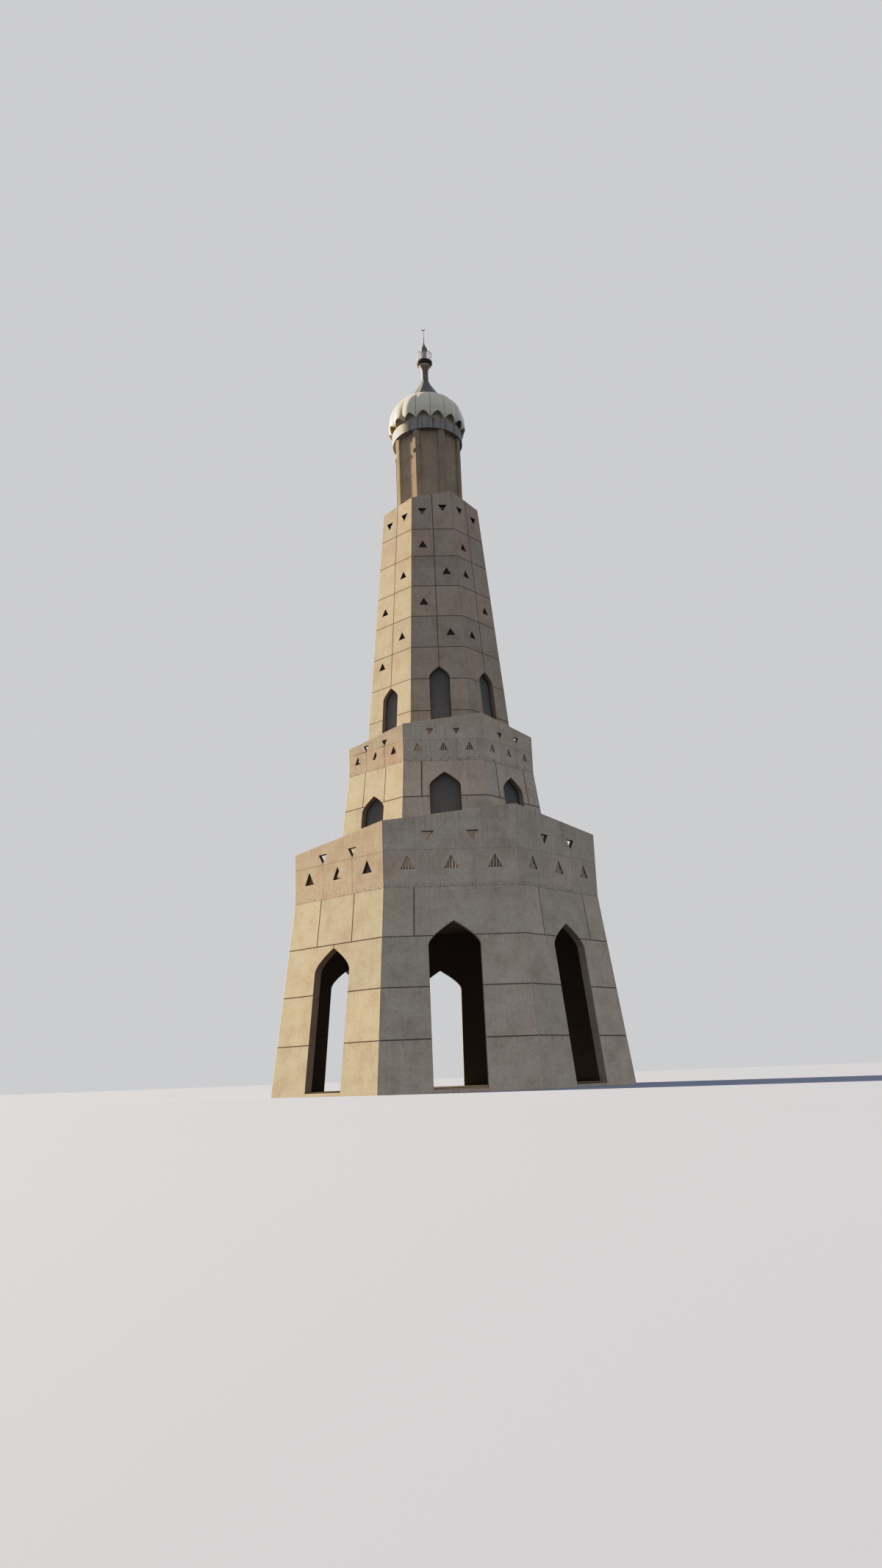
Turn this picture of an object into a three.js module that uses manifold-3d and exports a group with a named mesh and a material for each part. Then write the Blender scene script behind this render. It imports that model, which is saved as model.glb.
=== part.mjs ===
// Victory tower, a 1:10 scale model of a 100 m concrete tower, in millimetres with Z up.
// Three battered octagonal storeys stand on one another and carry a drum, a ribbed dome and a lantern.
// The origin is the middle of the ground floor's underside, and the front face looks along -Y.
// One metre of the real tower is 100 mm here.
import * as THREE from "three";
import { mergeVertices } from "three/addons/utils/BufferGeometryUtils.js";
import Module from "manifold-3d";

const wasm = await Module();
wasm.setup();

// Levels above the ground
const GROUND_FLOOR = 30;
const LOW_TERRACE = 2040;
const MIDDLE_TERRACE = 3560;
const ROOF_TERRACE = 6650;
const BEAM_BOTTOM = 8180;
const DOME_FOOT = 8330;
const UPSTAND_TOP = 8600;
const DOME_WIDEST = 8425;
const DOME_CROWN = 8865;
const DOME_RIM = 8825;
const NECK_BOTTOM = 9180;
const NECK_TOP = 9325;
const BALCONY_BOTTOM = 9408;
const LANTERN_FLOOR = 9457;
const LANTERN_TOP = 9580;
const CAP_BOTTOM = 9620;
const CAP_SHOULDER = 9728;
const MAST_FOOT = 9755;
const EMBLEM_FOOT = 9961;
const TOWER_TOP = 10000;

// Circumradii of the octagons, corner to axis
const GROUND_STOREY_FOOT = 2100;
const GROUND_STOREY_TOP = 1830;
const MIDDLE_STOREY_FOOT = 1375;
const MIDDLE_STOREY_TOP = 1172;
const SHAFT_FOOT = 964;
const SHAFT_BATTER = 0.0902;
const DRUM_RADIUS = 450;
const BEAM_RADIUS = 458;
const BEAM_INNER_RADIUS = 384;
const UPSTAND_RADIUS = 405;
const UPSTAND_INNER_RADIUS = 387;

// Parapet heights at a high, a middle and a low corner; the edge climbs and falls round the tower
const GROUND_PARAPET = { high: 2900, middle: 2750, low: 2600 };
const MIDDLE_PARAPET = { high: 4115, middle: 4003, low: 3899 };
const SHAFT_PARAPET = { high: 7200, middle: 7108, low: 7052 };

// Walls, slabs and glass
const GROUND_WALL = 90;
const MIDDLE_WALL = 75;
// The parapets of these two storeys are thinner than their walls
const GROUND_PARAPET_WALL = 45;
const MIDDLE_PARAPET_WALL = 35;
const SHAFT_WALL = 65;
const DRUM_WALL = 40;
const PANEL_DEPTH = 35;
const PIER_WIDTH = 52;
const SLAB_DEPTH = 80;
const ROOF_SLAB_DEPTH = 50;
const GLASS = 6;
const GLASS_ABOVE_ARCH = 50;
const DOME_SHELL = 26;
const FIT = 0.3;

// The octagon: eight faces, named from the front and counted anticlockwise from above
const FACES = ["front", "front_right", "right", "back_right", "back", "back_left", "left", "front_left"];
const FACE_TURN = Math.PI / 4;
const HALF_FACE = Math.PI / 8;
// Height of the left and right corner of each face, seen from outside
const CORNERS = [
  ["middle", "high"],
  ["high", "middle"],
  ["middle", "low"],
  ["low", "middle"],
  ["middle", "high"],
  ["high", "middle"],
  ["middle", "low"],
  ["low", "middle"],
];

// Arches: half width, springing and apex above ground, and the foot of the opening
const GROUND_ARCH = { half: 265, rise: 250, spring: 1430, foot: GROUND_FLOOR };
const MIDDLE_ARCH = { half: 173, rise: 165, spring: 3260, foot: LOW_TERRACE };
const SHAFT_ARCH = { half: 119, rise: 136, spring: 4660, foot: MIDDLE_TERRACE };
// Only the two faces beside the front's high corner have the taller arches
const TALL_ARCH_FACES = ["front", "front_right"];
const LOW_ARCH_DROP = 185;
const ARCH_SHOULDER = 0.36;
const ARCH_STEPS = 7;

// Triangular windows and parapet holes
const WINDOW_SIDE = 106;
const WINDOW_HEIGHT = 94;
const QUARTER = 0.25;
// Middle heights of the shaft's window rows between its joints, from the top down
const WINDOW_ROWS = [6440, 6065, 5655, 5245, 4935];
const TOP_WINDOW_DROP = 228;
// Which side of each row is pierced on each face: L, R or none, from the top row down
const WINDOW_SIDES = {
  front: ["L", "R", "L", "R", "-"],
  front_right: ["L", "L", "R", "L", "-"],
  right: ["R", "L", "R", "L", "-"],
  back_right: ["-", "R", "L", "R", "L"],
  back: ["L", "R", "L", "R", "-"],
  back_left: ["L", "L", "R", "L", "-"],
  left: ["R", "L", "R", "L", "-"],
  front_left: ["-", "R", "L", "R", "L"],
};
const UPRIGHT_HOLE_SIDE = 92;
const UPRIGHT_HOLE_HEIGHT = 88;
const INVERTED_HOLE_SIDE = 80;
const INVERTED_HOLE_HEIGHT = 66;
const PARAPET_UPRIGHT_SPACING = 292;
const PARAPET_INVERTED_SPACING = 150;
const PARAPET_UPRIGHT_RISE = 165;
const PARAPET_INVERTED_RISE = 342;
// On a face without a high corner the inverted holes sit lower by this much
const PARAPET_INVERTED_DROP = 58;

// Dome and what stands on it
const DOME_RADIUS = 499;
const DOME_FOOT_RADIUS = 458;
const DOME_SQUARENESS = 2.4;
const DOME_GORES = 16;
const STEPS_PER_GORE = 6;
const DOME_LEVELS = 11;
const DOME_TURN = THREE.MathUtils.degToRad(3.6);
const GORE_BULGE = 0.028;
const PETAL_RISE = 78;
// Share of a petal arch's rise that is straight, which leaves its apex pointed
const PETAL_POINT = 0.35;
// How much closer the dome's rings stand near its crown
const LEVEL_CROWDING = 1.6;
const SKIRT_RADIUS = 246;
const SKIRT_FLARE = 1.25;
const SKIRT_STEPS = 8;
const NECK_RADIUS = 45;
const COLLAR_FOOT_RADIUS = 47;
const COLLAR_RADIUS = 76;
const BALCONY_FOOT_RADIUS = 80;
const BALCONY_BELLY_RADIUS = 98;
const BALCONY_BELLY_RISE = 16;
const BALCONY_RADIUS = 106;
const BALCONY_KERB = 12;
const LANTERN_RADIUS = 102;
const CORE_RADIUS = 30;
const CAP_RADIUS = 46;
const CAP_SIDE = 60;
const CAP_SHOULDER_RADIUS = 26;
const MAST_RADIUS = 8;
const MAST_TIP_RADIUS = 4;
const MAST_SIDES = 12;
const EMBLEM_RADIUS = 25;
const EMBLEM_HOLLOW_LIFT = 0.45;
const EMBLEM_DEPTH = 8;
const ROUND_SIDES = 24;
const BEAM_SIDES = 64;

const concrete = () => new THREE.MeshStandardMaterial({ color: 0xc9b79a, roughness: 0.9, metalness: 0 });
const darkGlass = () => new THREE.MeshStandardMaterial({ color: 0x3a3d42, roughness: 0.2, metalness: 0 });
const domeFinish = () => new THREE.MeshStandardMaterial({ color: 0xd8d6c2, roughness: 0.6, metalness: 0 });
const paintedMetal = () => new THREE.MeshStandardMaterial({ color: 0x8d8f90, roughness: 0.5, metalness: 0.5 });
const darkMetal = () => new THREE.MeshStandardMaterial({ color: 0x4b4744, roughness: 0.6, metalness: 0.4 });
const clearGlass = () => new THREE.MeshStandardMaterial({ color: 0xcfd6d8, roughness: 0.1, metalness: 0 });

const tower = new THREE.Group();

// Adds one closed geometry to the tower as a named piece
function add(name, geometry, material) {
  const mesh = new THREE.Mesh(geometry, material);
  mesh.name = name;
  tower.add(mesh);
  return mesh;
}

// A geometry as a solid that can be cut or joined
function solid(geometry) {
  const bare = geometry.clone();
  bare.deleteAttribute("normal");
  bare.deleteAttribute("uv");
  const merged = mergeVertices(bare, 1e-3);
  return new wasm.Manifold(
    new wasm.Mesh({
      numProp: 3,
      vertProperties: new Float32Array(merged.attributes.position.array),
      triVerts: new Uint32Array(merged.index.array),
    }),
  );
}

// A solid back as a geometry
function surface(body) {
  const mesh = body.getMesh();
  const geometry = new THREE.BufferGeometry();
  geometry.setAttribute("position", new THREE.BufferAttribute(mesh.vertProperties, 3));
  geometry.setIndex(new THREE.BufferAttribute(mesh.triVerts, 1));
  return geometry;
}

function cut(body, holes) {
  return holes.reduce((left, hole) => left.subtract(solid(hole)), body);
}

// A closed skin over rings of points: each ring has the same number of points, listed
// anticlockwise from above, and rings run upwards. A shape with a hole closes on itself instead.
function loft(rings, closesOnItself = false) {
  const count = rings[0].length;
  const points = rings.flat(2);
  const index = [];
  const bands = closesOnItself ? rings.length : rings.length - 1;
  for (let k = 0; k < bands; k += 1) {
    const low = k * count;
    const high = ((k + 1) % rings.length) * count;
    for (let i = 0; i < count; i += 1) {
      const j = (i + 1) % count;
      index.push(low + i, low + j, high + j, low + i, high + j, high + i);
    }
  }
  if (!closesOnItself) {
    const last = (rings.length - 1) * count;
    for (let i = 1; i < count - 1; i += 1) {
      index.push(0, i + 1, i);
      index.push(last, last + i, last + i + 1);
    }
  }
  const geometry = new THREE.BufferGeometry();
  geometry.setAttribute("position", new THREE.BufferAttribute(new Float32Array(points), 3));
  geometry.setIndex(index);
  return geometry;
}

// The four plan corners of a wall's section on the front face, at the heights of its two ends
function wallRing(leftRadius, rightRadius, leftHeight, rightHeight, thickness) {
  const inward = thickness / Math.cos(HALF_FACE);
  const corner = (radius, side, height) => [
    side * (radius * Math.sin(HALF_FACE) - FIT / 2),
    -radius * Math.cos(HALF_FACE),
    height,
  ];
  return [
    corner(leftRadius, -1, leftHeight),
    corner(rightRadius, 1, rightHeight),
    corner(rightRadius - inward, 1, rightHeight),
    corner(leftRadius - inward, -1, leftHeight),
  ];
}

// A flat outline in the face's plane, pushed through the wall from outside to inside
function throughWall(shape, depth) {
  const block = new THREE.ExtrudeGeometry(shape, { depth, bevelEnabled: false, curveSegments: ARCH_STEPS });
  block.rotateX(Math.PI / 2);
  return block;
}

// A pointed arch: straight jambs, then two curves that start upright and meet at the apex
function archShape(arch, drop) {
  const spring = arch.spring - drop;
  const apex = spring + arch.rise;
  const shoulder = spring + ARCH_SHOULDER * arch.rise;
  const shape = new THREE.Shape();
  shape.moveTo(-arch.half, arch.foot);
  shape.lineTo(arch.half, arch.foot);
  shape.lineTo(arch.half, spring);
  shape.quadraticCurveTo(arch.half, shoulder, 0, apex);
  shape.quadraticCurveTo(-arch.half, shoulder, -arch.half, spring);
  shape.closePath();
  return shape;
}

// A triangle about its mid height, pointing up or down
function triangleShape(x, z, side, height, up) {
  const tip = up ? height / 2 : -height / 2;
  const shape = new THREE.Shape();
  shape.moveTo(x - side / 2, z - tip);
  shape.lineTo(x + side / 2, z - tip);
  shape.lineTo(x, z + tip);
  shape.closePath();
  return shape;
}

// Cuts every opening of a face and the room behind its parapet from its wall, and turns the wall to that face
function placeWall(name, storey, face, rings, shapes, rooms = []) {
  const depth = GROUND_STOREY_FOOT;
  const holes = [...shapes.map((shape) => throughWall(shape, depth)), ...rooms];
  const wall = cut(solid(loft(rings)), holes);
  const mesh = add(storey + "_" + name, surface(wall), concrete());
  mesh.rotation.z = face * FACE_TURN;
}

function archDrop(name) {
  return TALL_ARCH_FACES.includes(name) ? 0 : LOW_ARCH_DROP;
}

// Five holes in a parapet: three upright ones with two inverted ones over the gaps between them
function parapetHoles(terrace, stretch, drop) {
  const holes = [];
  for (const step of [-1, 0, 1]) {
    const x = step * PARAPET_UPRIGHT_SPACING * stretch;
    const z = terrace + PARAPET_UPRIGHT_RISE * stretch;
    holes.push(triangleShape(x, z, UPRIGHT_HOLE_SIDE * stretch, UPRIGHT_HOLE_HEIGHT * stretch, true));
  }
  for (const side of [-1, 1]) {
    const x = side * PARAPET_INVERTED_SPACING * stretch;
    const z = terrace + (PARAPET_INVERTED_RISE - drop) * stretch;
    holes.push(triangleShape(x, z, INVERTED_HOLE_SIDE * stretch, INVERTED_HOLE_HEIGHT * stretch, false));
  }
  return holes;
}

// The room behind the front face's parapet, from its terrace up past its top
function roomBehindParapet(radius, parapetThickness, terrace) {
  const room = new THREE.BoxGeometry(2 * radius, radius, radius);
  const front = -radius * Math.cos(HALF_FACE) + parapetThickness;
  return room.translate(0, front + radius / 2, terrace + radius / 2);
}

// A battered storey whose wall turns upright at its terrace and ends in a thinner, climbing parapet
function parapetStorey(storey, foot, terrace, radiusAt, parapet, thickness, parapetThickness, arch) {
  const footRadius = radiusAt(foot);
  const topRadius = radiusAt(terrace);
  const stretch = topRadius / MIDDLE_STOREY_TOP;
  FACES.forEach((name, face) => {
    const [left, right] = CORNERS[face].map((height) => parapet[height]);
    const rings = [
      wallRing(footRadius, footRadius, foot, foot, thickness),
      wallRing(topRadius, topRadius, terrace, terrace, thickness),
      wallRing(topRadius, topRadius, left, right, thickness),
    ];
    const drop = CORNERS[face].includes("high") ? 0 : PARAPET_INVERTED_DROP;
    const shapes = [archShape(arch, archDrop(name)), ...parapetHoles(terrace, stretch, drop)];
    placeWall(name, storey, face, rings, shapes, [roomBehindParapet(topRadius, parapetThickness, terrace)]);
  });
}

const shaftRadius = (z) => SHAFT_FOOT - SHAFT_BATTER * (z - MIDDLE_TERRACE);

// The triangles of one shaft face, at a quarter of its width from either corner
function shaftWindows(name, leftTop, rightTop) {
  const shapes = [];
  for (const side of [-1, 1]) {
    const edge = leftTop + (rightTop - leftTop) * (side < 0 ? QUARTER : 1 - QUARTER);
    const z = edge - TOP_WINDOW_DROP;
    const x = side * shaftRadius(z) * Math.sin(HALF_FACE) * 2 * QUARTER;
    shapes.push(triangleShape(x, z, WINDOW_SIDE, WINDOW_HEIGHT, false));
  }
  WINDOW_SIDES[name].forEach((side, row) => {
    if (side === "-") return;
    const z = WINDOW_ROWS[row];
    const x = (side === "L" ? -1 : 1) * shaftRadius(z) * Math.sin(HALF_FACE) * 2 * QUARTER;
    shapes.push(triangleShape(x, z, WINDOW_SIDE, WINDOW_HEIGHT, true));
  });
  return shapes;
}

// The tall tapering shaft, one wall for each face from the middle terrace to its own parapet
function shaftStorey() {
  FACES.forEach((name, face) => {
    const [left, right] = CORNERS[face].map((height) => SHAFT_PARAPET[height]);
    const rings = [
      wallRing(SHAFT_FOOT, SHAFT_FOOT, MIDDLE_TERRACE, MIDDLE_TERRACE, SHAFT_WALL),
      wallRing(shaftRadius(left), shaftRadius(right), left, right, SHAFT_WALL),
    ];
    const shapes = [archShape(SHAFT_ARCH, archDrop(name)), ...shaftWindows(name, left, right)];
    placeWall(name, "shaft_wall", face, rings, shapes);
  });
}

// The points of an octagon, a corner on each side of the front face
function octagon(radius, z) {
  return FACES.map((_, face) => {
    const angle = -Math.PI / 2 - HALF_FACE + face * FACE_TURN;
    return [radius * Math.cos(angle), radius * Math.sin(angle), z];
  });
}

// Radius of the largest octagon that fits inside a wall with the seat's small gap
function inside(radius, thickness) {
  return radius - (thickness + FIT) / Math.cos(HALF_FACE);
}

function slab(name, top, depth, radiusAt, thickness) {
  const rings = [top - depth, top].map((z) => octagon(inside(radiusAt(z), thickness), z));
  add(name, loft(rings), concrete());
}

// A sheet of glass round the inside of a storey's wall, behind its arches
function glazing(name, foot, top, radiusAt, thickness) {
  const outer = [foot, top].map((z) => octagon(inside(radiusAt(z), thickness), z));
  const inner = [top, foot].map((z) => octagon(inside(radiusAt(z), thickness + GLASS), z));
  add(name, loft([...outer, ...inner], true), darkGlass());
}

// A radius that changes evenly between two heights
const along = (lowZ, lowRadius, highZ, highRadius) => (z) =>
  lowRadius + ((highRadius - lowRadius) * (z - lowZ)) / (highZ - lowZ);

// A turned piece from a profile of [radius, height] points that closes on itself or on the axis
function turned(name, profile, material, sides = ROUND_SIDES) {
  const points = profile.map(([radius, height]) => new THREE.Vector2(radius, height));
  const geometry = new THREE.LatheGeometry(points, sides);
  geometry.rotateX(Math.PI / 2);
  return add(name, geometry, material);
}

// One face of the drum in plan: a pier at either end stands proud of the panel between them
function drumFace(face) {
  const turn = face * FACE_TURN;
  const half = DRUM_RADIUS * Math.sin(HALF_FACE);
  const proud = -DRUM_RADIUS * Math.cos(HALF_FACE);
  const sunk = proud + PANEL_DEPTH;
  const section = [
    [-half, proud],
    [-half + PIER_WIDTH, proud],
    [-half + PIER_WIDTH, sunk],
    [half - PIER_WIDTH, sunk],
    [half - PIER_WIDTH, proud],
  ];
  return section.map(([x, y]) => new THREE.Vector2(x, y).rotateAround(new THREE.Vector2(), turn));
}

function drum() {
  const outline = new THREE.Shape(FACES.flatMap((_, face) => drumFace(face)));
  const hollow = octagon(DRUM_RADIUS - (DRUM_WALL + PANEL_DEPTH) / Math.cos(HALF_FACE), 0);
  outline.holes.push(new THREE.Path(hollow.map(([x, y]) => new THREE.Vector2(x, y))));
  const tube = new THREE.ExtrudeGeometry(outline, { depth: BEAM_BOTTOM - ROOF_TERRACE, bevelEnabled: false });
  tube.translate(0, 0, ROOF_TERRACE);
  add("drum_wall", surface(solid(tube)), concrete());
}

// A round wall or beam between two radii and two heights
function roundWall(name, inner, outer, low, high) {
  const section = [
    [inner, low],
    [outer, low],
    [outer, high],
    [inner, high],
  ];
  turned(name, [...section, section[0]], concrete(), BEAM_SIDES);
}

// Half the dome's width at a height between its foot and its crown
function domeRadius(z) {
  if (z < DOME_WIDEST) {
    const fall = (DOME_WIDEST - z) / (DOME_WIDEST - DOME_FOOT);
    return DOME_RADIUS - (DOME_RADIUS - DOME_FOOT_RADIUS) * fall ** 2;
  }
  const rise = (z - DOME_WIDEST) / (DOME_CROWN - DOME_WIDEST);
  return DOME_RADIUS * (1 - rise ** DOME_SQUARENESS) ** (1 / DOME_SQUARENESS);
}

// Height of a gore's lower edge over its tips, as a share of the arch's rise: nothing at either tip, all of
// it in the middle, on two curves that meet in a point
function petalShare(share) {
  const side = 1 - Math.abs(2 * share - 1);
  return PETAL_POINT * side + (1 - PETAL_POINT) * (1 - (1 - side) ** 2);
}

// The ribbed dome: swelling gores whose lower edge rises to a pointed arch in each gore. A level of 0 is
// that edge and a level of 1 the rim round the open crown.
function domeRing(level, inset) {
  const ring = [];
  for (let i = 0; i < DOME_GORES * STEPS_PER_GORE; i += 1) {
    const angle = DOME_TURN + HALF_FACE + (i / (DOME_GORES * STEPS_PER_GORE)) * 2 * Math.PI;
    const share = (i % STEPS_PER_GORE) / STEPS_PER_GORE;
    const bow = Math.sin(Math.PI * share);
    const foot = DOME_FOOT + FIT + PETAL_RISE * petalShare(share);
    const z = foot + (DOME_RIM - foot) * (1 - (1 - level) ** LEVEL_CROWDING);
    const swell = 1 + GORE_BULGE * (bow - 0.5) * Math.sqrt(1 - level);
    const radius = domeRadius(z) * swell - inset;
    ring.push([radius * Math.cos(angle), radius * Math.sin(angle), level < 1 ? z - inset * level : z]);
  }
  return ring;
}

function dome() {
  const levels = Array.from({ length: DOME_LEVELS }, (_, i) => i / (DOME_LEVELS - 1));
  const outer = levels.map((level) => domeRing(level, 0));
  const inner = levels.map((level) => domeRing(level, DOME_SHELL)).reverse();
  add("ribbed_dome", loft([...outer, ...inner], true), domeFinish());
}

// The skirt flares from the neck to the dome's rim, more steeply towards the neck
function flaredSkirt() {
  const foot = DOME_RIM + FIT;
  const side = [];
  for (let i = 0; i <= SKIRT_STEPS; i += 1) {
    const rise = i / SKIRT_STEPS;
    const radius = NECK_RADIUS + (SKIRT_RADIUS - NECK_RADIUS) * (1 - rise) ** SKIRT_FLARE;
    side.push([radius, foot + (NECK_BOTTOM - foot) * rise]);
  }
  turned("flared_skirt", [[0, foot], ...side, [0, NECK_BOTTOM]], paintedMetal());
}

// Neck, collar, balcony, lantern, cap and mast, one upon the other
function finial() {
  const column = (radius, low, high) => [[0, low], [radius, low], [radius, high], [0, high]];
  turned("neck", column(NECK_RADIUS, NECK_BOTTOM, NECK_TOP), paintedMetal());
  const bowl = [[0, NECK_TOP], [COLLAR_FOOT_RADIUS, NECK_TOP], [COLLAR_RADIUS, BALCONY_BOTTOM], [0, BALCONY_BOTTOM]];
  turned("collar", bowl, paintedMetal());
  const disc = [
    [0, BALCONY_BOTTOM],
    [BALCONY_FOOT_RADIUS, BALCONY_BOTTOM],
    [BALCONY_BELLY_RADIUS, BALCONY_BOTTOM + BALCONY_BELLY_RISE],
    [BALCONY_RADIUS, LANTERN_FLOOR - BALCONY_KERB],
    [BALCONY_RADIUS, LANTERN_FLOOR],
    [0, LANTERN_FLOOR],
  ];
  turned("balcony", disc, darkMetal());
  const sheet = [
    [LANTERN_RADIUS - GLASS, LANTERN_FLOOR],
    [LANTERN_RADIUS, LANTERN_FLOOR],
    [LANTERN_RADIUS, LANTERN_TOP],
    [LANTERN_RADIUS - GLASS, LANTERN_TOP],
  ];
  turned("lantern_glass", [...sheet, sheet[0]], clearGlass());
  turned("lantern_core", column(CORE_RADIUS, LANTERN_FLOOR, CAP_BOTTOM), darkMetal());
  const cap = [
    [0, CAP_BOTTOM],
    [CAP_RADIUS, CAP_BOTTOM],
    [CAP_RADIUS, CAP_BOTTOM + CAP_SIDE],
    [CAP_SHOULDER_RADIUS, CAP_SHOULDER],
    [MAST_RADIUS, MAST_FOOT],
    [0, MAST_FOOT],
  ];
  turned("cap", cap, paintedMetal());
  const rod = [[0, MAST_FOOT], [MAST_RADIUS, MAST_FOOT], [MAST_TIP_RADIUS, EMBLEM_FOOT], [0, EMBLEM_FOOT]];
  turned("mast", rod, paintedMetal(), MAST_SIDES);
}

// A crescent on the tip of the mast, its horns pointing up: one circle less a smaller one set higher
function emblem() {
  const radius = EMBLEM_RADIUS;
  const horn = Math.asin((TOWER_TOP - EMBLEM_FOOT - radius) / radius);
  const hornX = radius * Math.cos(horn);
  const hornZ = radius * Math.sin(horn);
  const lift = EMBLEM_HOLLOW_LIFT * radius;
  const innerHorn = Math.atan2(hornZ - lift, hornX);
  const shape = new THREE.Shape();
  shape.absarc(0, 0, radius, horn, Math.PI - horn, true);
  shape.absarc(0, lift, Math.hypot(hornX, hornZ - lift), Math.PI - innerHorn, innerHorn, false);
  shape.closePath();
  const plate = new THREE.ExtrudeGeometry(shape, { depth: EMBLEM_DEPTH, bevelEnabled: false, curveSegments: 14 });
  plate.rotateX(Math.PI / 2);
  plate.translate(0, EMBLEM_DEPTH / 2, EMBLEM_FOOT + radius);
  add("emblem", plate, paintedMetal());
}

const archTop = (arch) => arch.spring + arch.rise + GLASS_ABOVE_ARCH;
const groundRadius = along(0, GROUND_STOREY_FOOT, LOW_TERRACE, GROUND_STOREY_TOP);
const middleRadius = along(LOW_TERRACE, MIDDLE_STOREY_FOOT, MIDDLE_TERRACE, MIDDLE_STOREY_TOP);

slab("ground_floor", GROUND_FLOOR, GROUND_FLOOR, groundRadius, GROUND_WALL);
const groundWalls = [groundRadius, GROUND_PARAPET, GROUND_WALL, GROUND_PARAPET_WALL, GROUND_ARCH];
parapetStorey("ground_wall", 0, LOW_TERRACE, ...groundWalls);
slab("low_terrace", LOW_TERRACE, SLAB_DEPTH, groundRadius, GROUND_WALL);
const middleWalls = [middleRadius, MIDDLE_PARAPET, MIDDLE_WALL, MIDDLE_PARAPET_WALL, MIDDLE_ARCH];
parapetStorey("middle_wall", LOW_TERRACE, MIDDLE_TERRACE, ...middleWalls);
glazing("middle_glazing", LOW_TERRACE, archTop(MIDDLE_ARCH), middleRadius, MIDDLE_WALL);
slab("middle_terrace", MIDDLE_TERRACE, SLAB_DEPTH, middleRadius, MIDDLE_WALL);
shaftStorey();
glazing("shaft_glazing", MIDDLE_TERRACE, archTop(SHAFT_ARCH), shaftRadius, SHAFT_WALL);
slab("roof_terrace", ROOF_TERRACE, ROOF_SLAB_DEPTH, shaftRadius, SHAFT_WALL);
drum();
// The beam overhangs the drum's panels, and the upstand on it closes the dome behind its petal arches
roundWall("ring_beam", BEAM_INNER_RADIUS, BEAM_RADIUS, BEAM_BOTTOM, DOME_FOOT);
roundWall("dome_upstand", UPSTAND_INNER_RADIUS, UPSTAND_RADIUS, DOME_FOOT, UPSTAND_TOP);
dome();
flaredSkirt();
finial();
emblem();

export default tower;
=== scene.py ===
"""Looks of a 1:10 scale model of an octagonal victory tower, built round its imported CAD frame.

Three battered storeys of sand-coloured precast concrete panels carry a drum, a ribbed dome and a lantern.
Lengths are in metres, unless a comment says otherwise, in the frame of the CAD model, so one metre of
the real tower is 0.1 here. Z is up, the front face looks along -Y, and the eight faces are counted
anticlockwise from above.
"""

import math

import bpy
import numpy as np
from mathutils import Matrix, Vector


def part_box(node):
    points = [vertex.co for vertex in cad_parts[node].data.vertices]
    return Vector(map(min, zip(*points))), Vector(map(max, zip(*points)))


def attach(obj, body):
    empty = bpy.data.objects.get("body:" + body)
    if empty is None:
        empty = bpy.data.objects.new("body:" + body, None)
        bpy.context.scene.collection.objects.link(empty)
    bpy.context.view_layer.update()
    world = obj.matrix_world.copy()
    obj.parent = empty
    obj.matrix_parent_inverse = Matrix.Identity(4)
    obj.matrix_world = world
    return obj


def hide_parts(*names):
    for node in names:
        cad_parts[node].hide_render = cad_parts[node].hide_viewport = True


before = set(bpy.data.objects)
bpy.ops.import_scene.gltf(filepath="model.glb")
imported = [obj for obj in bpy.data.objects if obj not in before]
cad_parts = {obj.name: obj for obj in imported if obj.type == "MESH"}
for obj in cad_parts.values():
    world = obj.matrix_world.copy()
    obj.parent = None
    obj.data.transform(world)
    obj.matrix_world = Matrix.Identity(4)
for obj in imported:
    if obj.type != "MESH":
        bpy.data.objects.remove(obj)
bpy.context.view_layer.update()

BODY = "root"
FIT = 0.0003

# The octagon
FACES = ("front", "front_right", "right", "back_right", "back", "back_left", "left", "front_left")
FACE_TURN = math.pi / 4
HALF_FACE = math.pi / 8
# The faces that get the photograph's low sun
SUNNY_FACES = ("back", "back_left", "left", "front_left")
# Height of the left and right corner of each face, seen from outside; the back half repeats the front half
CORNERS = (("middle", "high"), ("high", "middle"), ("middle", "low"), ("low", "middle")) * 2

# Levels that the frame gives
LOW_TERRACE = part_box("low_terrace")[1].z
MIDDLE_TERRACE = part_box("middle_terrace")[1].z
ROOF_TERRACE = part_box("roof_terrace")[1].z
BEAM_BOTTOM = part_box("ring_beam")[0].z
DOME_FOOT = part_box("ring_beam")[1].z
DOME_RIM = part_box("ribbed_dome")[1].z
SKIRT_FOOT, NECK_BOTTOM = (corner.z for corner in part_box("flared_skirt"))
NECK_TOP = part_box("neck")[1].z
BALCONY_BOTTOM, LANTERN_FLOOR = (corner.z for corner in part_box("balcony"))
LANTERN_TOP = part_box("lantern_glass")[1].z
CAP_BOTTOM, MAST_FOOT = (corner.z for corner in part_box("cap"))
EMBLEM_FOOT, TOWER_TOP = (corner.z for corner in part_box("emblem"))

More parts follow.
